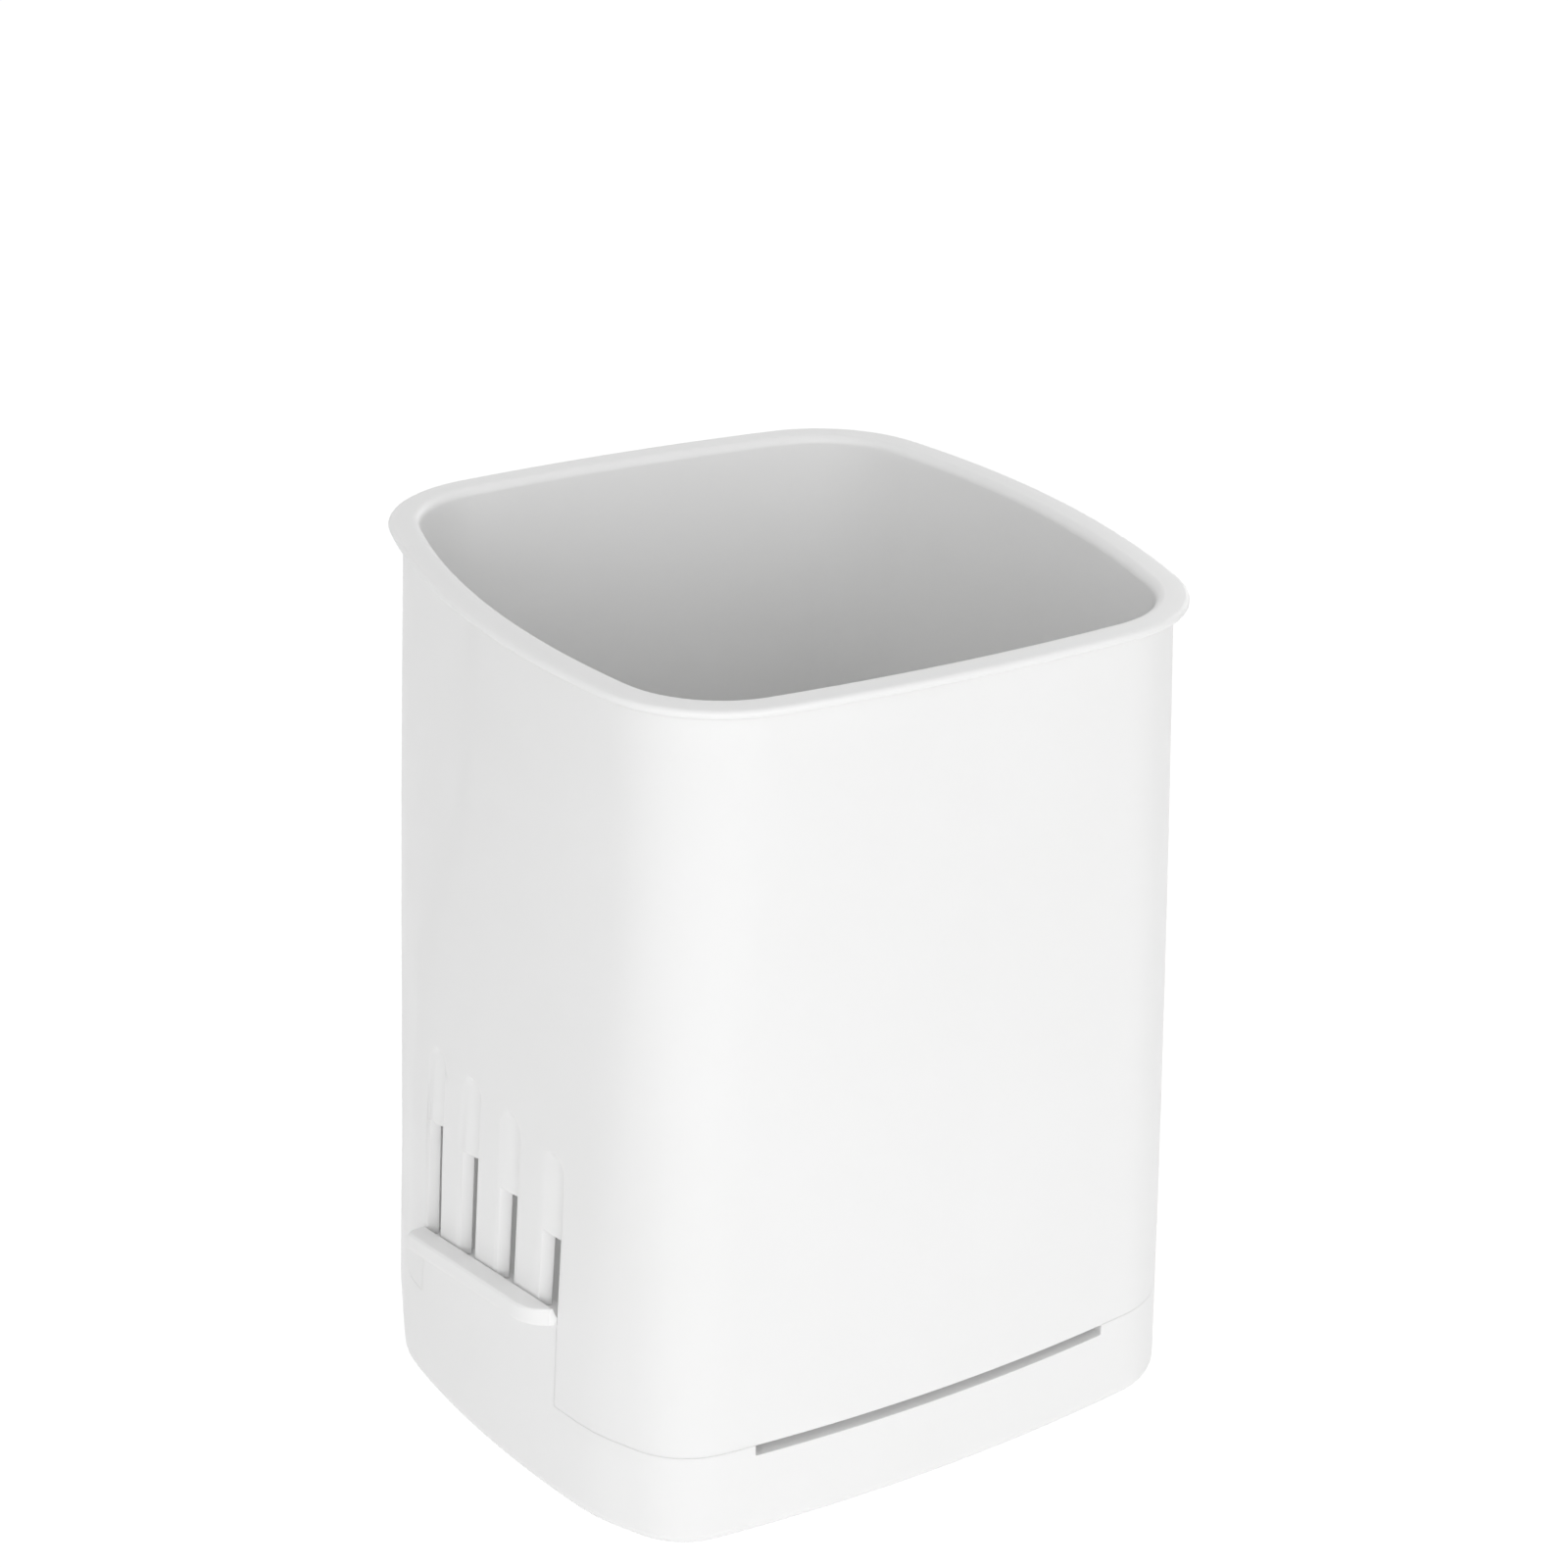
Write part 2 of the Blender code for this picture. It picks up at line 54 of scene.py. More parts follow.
mount_low, mount_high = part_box("wall_plate")
pad_low, pad_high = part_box("adhesive_pad")
UNDERSIDE = tray_low[2]
AXIS_Y = (tray_low[1] + tray_high[1]) / 2
CUP_AXIS = Vector((0, AXIS_Y, UNDERSIDE))

# Cup outside, with the rim's overhang left out
HEIGHT = 0.1105
TOP_WIDTH = 0.0820
TOP_DEPTH = 0.0860
BOTTOM_WIDTH = 0.0977
BOTTOM_DEPTH = 0.0878
TOP_CORNER_RADIUS = 0.0155
BOTTOM_CORNER_RADIUS = 0.0115
TOP_BOW_RADIUS = 0.1277
BOTTOM_BOW_RADIUS = 0.0727
FACE_BOW_RADIUS = 0.2583
WALL = 0.0022

# Out-turned rim
RIM_OVERHANG = 0.0019
RIM_THICKNESS = 0.0011
RIM_ROOT_RADIUS = 0.0004
RIM_INNER_RADIUS = 0.0012

# Gaps and the small rounds on moulded edges
SEAM_GAP = 0.00003
SEAM_ROUND = 0.00003
FIT_GAP = 0.0003
PLATE_EDGE_GAP = 0.0004
EDGE_ROUND = 0.0002

# Side vents: a groove with a soft ramp for a floor, and at its foot a slot through the wall that
# tapers inwards and opens into a pocket on the wall's inner face
VENT_COUNT = 4
VENT_WIDTH = 0.0042
VENT_PITCH = 0.0087
VENT_CENTRE_Y = -0.0087
VENT_TOP = 0.0489
VENT_DEPTH = 0.0010
VENT_EDGE_ROUND = 0.0002
VENT_FLOOR = 0.0006
VENT_RAMP_START = math.radians(12)
VENT_RAMP_END = math.radians(50)
VENT_LEDGE = 0.00005
VENT_OPEN_WIDTH = 0.0036
VENT_OPEN_INNER_WIDTH = 0.0028
VENT_OPEN_TOP = 0.0374
VENT_POCKET_INSET = 0.0013
VENT_POCKET_BORDER = 0.0004

# Drip tray
TRAY_HEIGHT = 0.0131
TRAY_FLOOR = 0.0020
FOOT_RADIUS = 0.0018
TRAY_INNER_RADIUS = 0.0012
SLIT_LENGTH = 0.0512
SLIT_DEPTH = 0.0015
LIP_TOP = 0.0255
LIP_THICKNESS = 0.0024
LIP_REACH = 0.0029
LIP_STEP = 0.0012
LIP_NEAR_RADIUS = 0.0040
LIP_FAR_RADIUS = 0.0010
LIP_END_INSET = 0.0003
LIP_LEAST_REACH = 0.0008
LIP_EDGE_ROUND = 0.0004
FIN_THICKNESS = 0.0010
FIN_RISE = 0.0060
FIN_END_ANGLE = math.radians(4)
POST_RADIUS = 0.0025
POST_SPACING_X = 0.022
POST_SPACING_Y = 0.022
POST_ROUND_STEPS = 2
POST_ROUND_SHAPE = 0.5

# Drain plate
DRAIN_COLUMNS = 2
DRAIN_ROWS = 7
DRAIN_WIDTH = 0.0030
DRAIN_LENGTH = 0.0240
DRAIN_PITCH_X = 0.0300
DRAIN_PITCH_Y = 0.0080

# Saddle on the cup's back and the tongue that it slides down onto
SADDLE_WIDTH = 0.044
SADDLE_BOTTOM = 0.038
SADDLE_TOP = 0.096
SADDLE_LAND = 0.0057
SADDLE_EDGE_ROUND = 0.0010
HEAD_WIDTH = 0.032
HEAD_DEPTH = 0.0018
NECK_WIDTH = 0.022
TONGUE_INSET = 0.004
TONGUE_LEAD = 0.0010

# Wall plate and pad
BACKPLATE_DEPTH = 0.0025
BACKPLATE_RADIUS = 0.006
BACKPLATE_EDGE_ROUND = 0.0008
PAD_BORDER = 0.0015
PAD_BULGE = 0.0002

# Arcs that the finger lips and the vents' tops follow along the sides: a crest along y, a lift at
# the crest, and a fall for each square of the distance from it
LIP_ARC_CREST = -0.030
LIP_ARC_LIFT = 0.0017
LIP_ARC_FALL = 3.18
VENT_ARC_CREST = 0.001
VENT_TOP_LIFT = 0.0009
VENT_TOP_FALL = 4.3
VENT_OPEN_LIFT = 0.0015
VENT_OPEN_FALL = 5.2
ARC_FADE_START = 0.025
ARC_FADE_END = 0.033
ARC_LEAST_X = 0.030
ARC_LOW = 0.0140
ARC_HIGH = 0.0650

# Lower part of the sides: a flatter bow whose crest lies behind the middle, and behind a soft bend
# a straight slope back to the plain outline. It fades out to the front, to the back and upwards.
FLAT_BOW_RADIUS = 0.140
FLAT_BOW_CREST_X = 0.0499
FLAT_BOW_CREST_Y = 0.015
BEND_X = 0.04975
BEND_Y = 0.011
BEND_SLOPE = 0.38
BEND_SOFTNESS = 0.0009
FLAT_FRONT_START = 0.028
FLAT_FRONT_END = 0.036
FLAT_BACK_START = 0.020
FLAT_BACK_END = 0.027
FLAT_FADE_START = 0.045
FLAT_FADE_END = 0.095

# Fineness of the meshes
SIDE_MIDDLE = 0.026
CUP_FACE_MIDDLE = 0.0215
TRAY_FACE_MIDDLE = 0.0265
SPACING = 0.0013
END_STEPS = 4
CORNER_STEPS = 14
ROUND_STEPS = 8
EDGE_STEPS = 3
OUTSIDE_ROWS = 44
INSIDE_ROWS = 24
POST_SIDES = 32
LIP_PLAIN_POINTS = 6
LIP_ROUND_POINTS = 2 * (EDGE_STEPS + 1)
TAB_TOP_POINTS = 2

# How far cutters and roots reach past a face, how close two points have to lie to be merged, and
# from which angle on an edge stays sharp
BITE = 0.0010
SAME_POINT = 0.000001
SHARP_ANGLE = math.radians(35)

# Sizes that follow from those above
BODY_BOTTOM = TRAY_HEIGHT + SEAM_GAP
TAB_WIDTH = (VENT_COUNT - 1) * VENT_PITCH + VENT_WIDTH
TAB_FRONT = VENT_CENTRE_Y - TAB_WIDTH / 2
TAB_BACK = VENT_CENTRE_Y + TAB_WIDTH / 2
TAB_WALL_TOP = LIP_TOP - LIP_STEP
NOTCH_TOP = TAB_WALL_TOP + SEAM_GAP
LIP_BOTTOM = LIP_TOP - LIP_THICKNESS
LIP_FRONT = TAB_FRONT + LIP_END_INSET
LIP_BACK = TAB_BACK - LIP_END_INSET
FIN_INSET = WALL + FIT_GAP
FIN_TOP = TRAY_HEIGHT + FIN_RISE
PLATE_INSET = FIN_INSET + FIN_THICKNESS + PLATE_EDGE_GAP
PLATE_RISE = plate_low[2] - UNDERSIDE
PLATE_TOP = plate_high[2] - UNDERSIDE
POST_TOP = PLATE_RISE - FIT_GAP
HEAD_FRONT = mount_low[1] - AXIS_Y
BACKPLATE_BACK = mount_high[1] - AXIS_Y
BACKPLATE_FRONT = BACKPLATE_BACK - BACKPLATE_DEPTH
SADDLE_BACK = BACKPLATE_FRONT - FIT_GAP
SLOT_TOP = SADDLE_TOP - SADDLE_LAND
MOUNT_MIDDLE = (mount_low[2] + mount_high[2]) / 2 - UNDERSIDE


def spread(start, end, steps):
    return [start + (end - start) * step / steps for step in range(steps + 1)]


def stretch(start, end):
    """Evenly spaced places from start to end, about SPACING apart."""
    return spread(start, end, max(round(abs(end - start) / SPACING), 1))


def polar(radius, angle):
    return Vector((math.cos(angle), math.sin(angle))) * radius


def arc(middle, radius, start, end, steps=ROUND_STEPS):
    """Points (inset, height) along a round of a profile, angles in degrees."""
    turns = [math.radians(angle) for angle in spread(start, end, steps)]
    return [(middle[0] + radius * math.cos(a), middle[1] + radius * math.sin(a)) for a in turns]


def meet(first, first_radius, second, second_radius):
    """The upper right crossing of two circles in plan."""
    across = second - first
    distance = across.length
    along = (first_radius ** 2 - second_radius ** 2 + distance ** 2) / (2 * distance)
    aside = math.sqrt(first_radius ** 2 - along ** 2)
    unit = across / distance
    foot = first + unit * along
    choices = [foot + Vector((-unit.y, unit.x)) * aside, foot - Vector((-unit.y, unit.x)) * aside]
    return max(choices, key=lambda point: point.x + point.y)


class Plan:
    """The cup's outline at one height: bowed sides, faces and corners that meet smoothly."""

    def __init__(self, z):
        share = z / HEIGHT
        half_width = ((1 - share) * BOTTOM_WIDTH + share * TOP_WIDTH) / 2
        half_depth = ((1 - share) * BOTTOM_DEPTH + share * TOP_DEPTH) / 2
        self.side = 1 / ((1 - share) / BOTTOM_BOW_RADIUS + share / TOP_BOW_RADIUS)
        self.round = (1 - share) * BOTTOM_CORNER_RADIUS + share * TOP_CORNER_RADIUS
        self.side_middle = Vector((half_width - self.side, 0))
        self.face_middle = Vector((0, half_depth - FACE_BOW_RADIUS))
        self.corner = meet(self.side_middle, self.side - self.round,
                           self.face_middle, FACE_BOW_RADIUS - self.round)
        reach = self.corner - self.side_middle
        self.side_angle = math.atan2(reach.y, reach.x)
        reach = self.corner - self.face_middle
        self.face_angle = math.atan2(reach.y, reach.x)

    def side_x(self, y, inset=0.0):
        return self.side_middle.x + math.sqrt((self.side - inset) ** 2 - y ** 2)

    def side_end(self, inset=0.0):
        """Where the side's bow ends and the corner's round begins."""
        return (self.side - inset) * math.sin(self.side_angle)

    def face_y(self, x, inset=0.0):
        return self.face_middle.y + math.sqrt((FACE_BOW_RADIUS - inset) ** 2 - x ** 2)

    def face_end(self, inset=0.0):
        return (FACE_BOW_RADIUS - inset) * math.cos(self.face_angle)

    def corner_point(self, angle, inset):
        return self.corner + polar(self.round - inset, angle)


@functools.lru_cache(maxsize=None)
def plan(z):
    return Plan(z)


def side_upright(side, y):
    """An upright line on a side wall; the line is a function of height and inset."""
    return lambda z, inset: Vector((side * plan(z).side_x(y, inset), y, z))


def face_upright(end, x):
    return lambda z, inset: Vector((x, end * plan(z).face_y(x, inset), z))


def side_end_upright(side, end, share):
    """An upright between a side's middle stretch and its corner."""
    def place(z, inset):
        y = SIDE_MIDDLE + share * (plan(z).side_end(inset) - SIDE_MIDDLE)
        return Vector((side * plan(z).side_x(y, inset), end * y, z))
    return place


def face_end_upright(side, end, share, face_middle):
    def place(z, inset):
        x = face_middle + share * (plan(z).face_end(inset) - face_middle)
        return Vector((side * x, end * plan(z).face_y(x, inset), z))
    return place


def corner_upright(side, end, share):
    def place(z, inset):
        here = plan(z)
        point = here.corner_point((1 - share) * here.side_angle + share * here.face_angle, inset)
        return Vector((side * point.x, end * point.y, z))
    return place


def corner_uprights(side, end, face_middle):
    """Uprights from a side round one corner to the front or the back."""
    shares = spread(0, 1, END_STEPS)[1:-1]
    turn = spread(0, 1, CORNER_STEPS)
    return ([side_end_upright(side, end, share) for share in shares]
            + [corner_upright(side, end, share) for share in turn]
            + [face_end_upright(side, end, share, face_middle) for share in reversed(shares)])


def uprights(side_stations, front_stations):
    """All uprights, counter-clockwise from above, as (place, what the wall does there). A side
    station is (y, what), front to back; a front station is (x, what), left to right."""
    face_middle = front_stations[-1][0]
    back = [(x, None) for x in stretch(face_middle, -face_middle)]
    right = [(side_upright(1, y), what) for y, what in side_stations]
    left = [(side_upright(-1, y), what) for y, what in reversed(side_stations)]
    rear = [(face_upright(1, x), what) for x, what in back]
    front = [(face_upright(-1, x), what) for x, what in front_stations]
    corner = {(side, end): [(place, None) for place in corner_uprights(side, end, face_middle)]
              for side in (-1, 1) for end in (-1, 1)}
    return (right + corner[1, 1] + rear + corner[-1, 1][::-1]
            + left + corner[-1, -1] + front + corner[1, -1][::-1])


def start_loop(bm, points):
    """A closed loop of edges through the points: a circle whose corners are moved to them."""
    corners = bmesh.ops.create_circle(bm, segments=len(points), radius=HEIGHT)["verts"]
    for corner, point in zip(corners, points):
        corner.co = point
    return corners


def draw_loop(bm, corners, points):
    """Extrude a loop of edges to the points and return its new corners."""
    pairs = zip(corners, corners[1:] + corners[:1])
    edges = [bm.edges.get(pair) for pair in pairs]
    drawn = bmesh.ops.extrude_edge_only(bm, edges=edges)["geom"]
    fresh = {item for item in drawn if isinstance(item, bmesh.types.BMVert)}
    following = []
    for corner, point in zip(corners, points):
        new = next(e.other_vert(corner) for e in corner.link_edges if e.other_vert(corner) in fresh)
        new.co = point
        following.append(new)
    return following


def draw_shell(bm, loops, closed=True):
    """Draw a loop of edges through all the loops; closed fills both ends, else the last loop
    comes back to the first."""
    first = corners = start_loop(bm, loops[0])
    for points in loops[1:]:
        corners = draw_loop(bm, corners, points)
    if closed:
        for ring in (first, corners):
            pairs = zip(ring, ring[1:] + ring[:1])
            bmesh.ops.edgeloop_fill(bm, edges=[bm.edges.get(pair) for pair in pairs])


def tidy(bm, name):
    """Merge doubled points, turn faces outwards and return the mesh."""
    bmesh.ops.remove_doubles(bm, verts=bm.verts, dist=SAME_POINT)
    bmesh.ops.recalc_face_normals(bm, faces=bm.faces)
    mesh = bpy.data.meshes.new(name)
    bm.to_mesh(mesh)
    bm.free()
    return mesh


def shells(name, bodies):
    """One mesh that holds a separate closed body for each row of loops."""
    bm = bmesh.new()
    for loops in bodies:
        draw_shell(bm, loops)
    return tidy(bm, name)


def carved(mesh, steps):
    """The mesh after a row of cuts and joins, each an (operation, mesh) pair."""
    blank = bpy.data.objects.new(mesh.name, mesh)
    bpy.context.scene.collection.objects.link(blank)
    guides = []
    for operation, shape in steps:
        guide = bpy.data.objects.new(shape.name, shape)
        bpy.context.scene.collection.objects.link(guide)
        guides.append(guide)
        modifier = blank.modifiers.new(shape.name, "BOOLEAN")
        modifier.operation = operation
        modifier.object = guide
    view = bpy.context.evaluated_depsgraph_get()
    result = bpy.data.meshes.new_from_object(blank.evaluated_get(view))
    for thing in [blank] + guides:
        bpy.data.objects.remove(thing, do_unlink=True)
    return result


def ease(value, low, high):
    """0 below low, 1 above high and a soft rise between them."""
    share = min(max((value - low) / (high - low), 0.0), 1.0)
    return share * share * (3 - 2 * share)


def arc_lift(y, z):
    """How far the arcs raise the side wall at y and z."""
    lip = LIP_ARC_LIFT - LIP_ARC_FALL * max(y - LIP_ARC_CREST, 0.0) ** 2
    away = min(y - VENT_ARC_CREST, 0.0) ** 2
    opening = VENT_OPEN_LIFT - VENT_OPEN_FALL * away
    top = VENT_TOP_LIFT - VENT_TOP_FALL * away
    lift = lip * ease(z, ARC_LOW, LIP_BOTTOM) * (1 - ease(z, LIP_TOP, VENT_OPEN_TOP))
    lift += opening * ease(z, LIP_TOP, VENT_OPEN_TOP) * (1 - ease(z, VENT_OPEN_TOP, VENT_TOP))
    lift += top * ease(z, VENT_OPEN_TOP, VENT_TOP) * (1 - ease(z, VENT_TOP, ARC_HIGH))
    return lift * (1 - ease(abs(y), ARC_FADE_START, ARC_FADE_END))


def flat_push(y, z):
    """How far the side wall stands outside the plain outline at y and z."""
    bow = FLAT_BOW_CREST_X - (y - FLAT_BOW_CREST_Y) ** 2 / (2 * FLAT_BOW_RADIUS)
    slope = BEND_X - BEND_SLOPE * (y - BEND_Y)
    line = (bow + slope - math.sqrt((bow - slope) ** 2 + BEND_SOFTNESS ** 2)) / 2
    push = line - plan(0.0).side_x(max(min(y, FLAT_FRONT_END), -FLAT_FRONT_END))
    push *= 1 - ease(-y, FLAT_FRONT_START, FLAT_FRONT_END)
    push *= 1 - ease(y, FLAT_BACK_START, FLAT_BACK_END)
    return push * (1 - ease(z, FLAT_FADE_START, FLAT_FADE_END))


def shape_sides(mesh):
    """Bend the side walls' level lines into the arcs of the lips and the vents, and flatten the
    walls' lower part."""
    for corner in mesh.vertices:
        x, y, z = corner.co
        if abs(x) > ARC_LEAST_X:
            push = flat_push(y, z) * math.copysign(1, x)
            corner.co = Vector((x + push, y, z + arc_lift(y, z)))


def finished_piece(name, mesh, finish, body, slot, *nodes):
    """Put a mesh in its place on the model, with smooth rounds, and let it stand for its nodes."""
    mesh.name = name
    mesh.transform(Matrix.Translation(CUP_AXIS))
    mesh.shade_smooth()
    mesh.set_sharp_from_angle(angle=SHARP_ANGLE)
    mesh.materials.clear()
    mesh.materials.append(finish)
    part = bpy.data.objects.new(name, mesh)
    bpy.context.scene.collection.objects.link(part)
    shading = part.modifiers.new("even shading", "WEIGHTED_NORMAL")
    shading.keep_sharp = True
    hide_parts(*nodes)
    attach(part, body)
    return part


def vent_middles():
    first = VENT_CENTRE_Y - (VENT_COUNT - 1) * VENT_PITCH / 2
    return [first + VENT_PITCH * index for index in range(VENT_COUNT)]


def arch(side, middle, half, top, inset, foot, corner):
    """Outline of an arched opening on a side wall, drawn in by inset, from its foot to its top.
    half is half its width, and corner the radius of its two upper corners."""
    points = []
    for sign, start, end in ((1, 0, 90), (-1, 90, 180)):
        points += arc((middle + sign * (half - corner), top - corner), corner, start, end)
    points += [(middle - half, foot), (middle + half, foot)]
    return [Vector((side * plan(z).side_x(y, inset), y, z)) for y, z in points]


def vent_steps():
    """Steps of a vent's groove into the wall: (near side's growth, far side's reach, inset). The
    near side has a small round, and from there the floor rises on a soft ramp to the far side. The
    ramp is part of an ellipse that is fall deep and run long; flare carries it on past the face."""
    edge = VENT_EDGE_ROUND
    start, end = VENT_RAMP_START, VENT_RAMP_END
    ramp = VENT_WIDTH - VENT_FLOOR
    fall = VENT_DEPTH / (math.cos(start) - math.cos(end))
    run = ramp / (math.sin(end) - math.sin(start))
    flare = edge * run / (fall * math.tan(start))
    steps = [(2 * edge, ramp + flare, -edge)]
    for angle in spread(start, end, ROUND_STEPS):
        inset = fall * (math.cos(start) - math.cos(angle))
        past = max(1 - inset / edge, 0.0)
        reach = run * (math.sin(end) - math.sin(angle))
        steps.append((edge * (1 - math.sqrt(1 - past ** 2)), reach, inset))
    return steps


def vent_groove(side, middle):
    """Cutter for one vent's round-topped groove."""
    near = middle - VENT_WIDTH / 2
    loops = []
    for growth, reach, inset in vent_steps():
        half = (VENT_FLOOR + reach + growth) / 2
        loops.append(arch(side, near - growth + half, half, VENT_TOP + growth, inset,
                          NOTCH_TOP - BITE, half))
    return loops


def vent_slot(side, middle):
    """Cutter for the slot at the foot of one vent, in a pocket that thins the wall from inside."""
    near = middle - VENT_WIDTH / 2 + VENT_LEDGE
    foot = NOTCH_TOP - BITE
    taper = (VENT_OPEN_WIDTH - VENT_OPEN_INNER_WIDTH) / VENT_POCKET_INSET
    slot = []
    for inset in (-BITE, VENT_POCKET_INSET):
        half = (VENT_OPEN_WIDTH - taper * inset) / 2
        slot.append(arch(side, near + half, half, VENT_OPEN_TOP, inset, foot, EDGE_ROUND))
    wide = VENT_OPEN_WIDTH / 2 + VENT_POCKET_BORDER
    centre = near + VENT_OPEN_WIDTH / 2
    pocket_top = VENT_OPEN_TOP + VENT_POCKET_BORDER
    pocket = [arch(side, centre, wide, pocket_top, inset, foot, EDGE_ROUND)
              for inset in (VENT_POCKET_INSET + SAME_POINT, WALL + BITE)]
    return slot + pocket


def cup_profile(over_tab):
    """(inset, height) round the cup's wall: up the outside, over the rim and down the inside."""
    edge = SEAM_ROUND
    bottom = NOTCH_TOP if over_tab else BODY_BOTTOM
    above_tab = NOTCH_TOP + edge
    rim_bottom = HEIGHT - RIM_THICKNESS
    bead = RIM_THICKNESS / 2
    points = arc((edge, bottom + edge), edge, -90, -180, EDGE_STEPS)
    points += [(0.0, z) for z in spread(above_tab, rim_bottom - RIM_ROOT_RADIUS, OUTSIDE_ROWS)]
    root = (-RIM_ROOT_RADIUS, rim_bottom - RIM_ROOT_RADIUS)
    points += arc(root, RIM_ROOT_RADIUS, 0, 90, EDGE_STEPS)[1:]
    points += arc((bead - RIM_OVERHANG, rim_bottom + bead), bead, -90, -270)
    inner = (WALL - RIM_INNER_RADIUS, HEIGHT - RIM_INNER_RADIUS)
    points += arc(inner, RIM_INNER_RADIUS, 90, 0, ROUND_STEPS)
    points += [(WALL, z) for z in spread(HEIGHT - RIM_INNER_RADIUS, above_tab, INSIDE_ROWS)[1:]]
    points += arc((WALL - edge, bottom + edge), edge, 0, -90, EDGE_STEPS)
    return points


def saddle():
    """The block on the cup's back, rooted in the wall, with rounded outer edges."""
    loops = []
    edge = SADDLE_EDGE_ROUND
    half = SADDLE_WIDTH / 2
    ends = [half - edge * (1 - math.sin(angle)) for angle in spread(0, math.pi / 2, EDGE_STEPS)]
    middle = spread(-half + edge, half - edge, ROUND_STEPS)[1:-1]
    for x in [-x for x in reversed(ends)] + middle + ends:
        past = max(abs(x) - (half - edge), 0.0)
        drop = edge - math.sqrt(max(edge ** 2 - past ** 2, 0.0))
        back = SADDLE_BACK - drop
        root_low = plan(SADDLE_BOTTOM).face_y(x, WALL / 2)
        root_high = plan(SADDLE_TOP).face_y(x, WALL / 2)
        loops.append([Vector((x, root_low, SADDLE_BOTTOM)), Vector((x, back - edge, SADDLE_BOTTOM)),
                      Vector((x, back, SADDLE_BOTTOM + edge)), Vector((x, back, SADDLE_TOP - edge)),
                      Vector((x, back - edge, SADDLE_TOP)), Vector((x, root_high, SADDLE_TOP))])
    return loops


def tongue_outline(z, gap, back, narrow=0.0):
    """The tongue's T in plan at height z; gap widens it into the slot that it slides in."""
    head = HEAD_WIDTH / 2 + gap - narrow
    neck = NECK_WIDTH / 2 + gap - narrow
    front = HEAD_FRONT - gap
    step = HEAD_FRONT + HEAD_DEPTH + gap
    half = [(head, front), (head, step), (neck, step), (neck, back)]
    whole = half + [(-x, y) for x, y in reversed(half)]
    return [Vector((x, y, z)) for x, y in whole]


def make_cup(finish):
    gap_front = TAB_FRONT - SEAM_GAP
    gap_back = TAB_BACK + SEAM_GAP
    sides = [(y, False) for y in stretch(-SIDE_MIDDLE, gap_front)]
    sides += [(y, True) for y in stretch(gap_front, gap_back)]
    sides += [(y, False) for y in stretch(gap_back, SIDE_MIDDLE)]
    front = [(x, False) for x in stretch(-CUP_FACE_MIDDLE, CUP_FACE_MIDDLE)]
    around = uprights(sides, front)
    profiles = {over: cup_profile(over) for over in (False, True)}
    loops = []
    for step in range(len(profiles[True])):
        loop = []
        for place, over in around:
            inset, z = profiles[bool(over)][step]
            loop.append(place(z, inset))
        loops.append(loop)
    bm = bmesh.new()
    draw_shell(bm, loops + loops[:1], closed=False)
    wall = tidy(bm, "cup wall")
    places = [(side, y) for side in (-1, 1) for y in vent_middles()]
    slot = [tongue_outline(z, FIT_GAP, SADDLE_BACK + BITE)
            for z in (SADDLE_BOTTOM - BITE, SLOT_TOP)]
    mesh = carved(wall, [
        ("DIFFERENCE", shells("vents", [vent_groove(*place) for place in places])),
        ("DIFFERENCE", shells("vent slots", [vent_slot(*place) for place in places])),
        ("UNION", shells("saddle", [saddle()])),
        ("DIFFERENCE", shells("saddle slot", [slot])),
    ])
    shape_sides(mesh)
    finished_piece("cup_shell", mesh, finish, "cup", "cup_white", "cup_body")


def lip_reach(y):
    """How far the finger lip stands out at y, with a round at each end."""
    near = min(y - LIP_FRONT, LIP_NEAR_RADIUS)
    far = min(LIP_BACK - y, LIP_FAR_RADIUS)
    near_drop = LIP_REACH * (1 - math.sqrt(max(1 - (1 - near / LIP_NEAR_RADIUS) ** 2, 0.0)))
    past = LIP_FAR_RADIUS - far
    far_drop = LIP_FAR_RADIUS - math.sqrt(max(LIP_FAR_RADIUS ** 2 - past ** 2, 0.0))
    return max(LIP_REACH - near_drop - far_drop, LIP_LEAST_REACH)


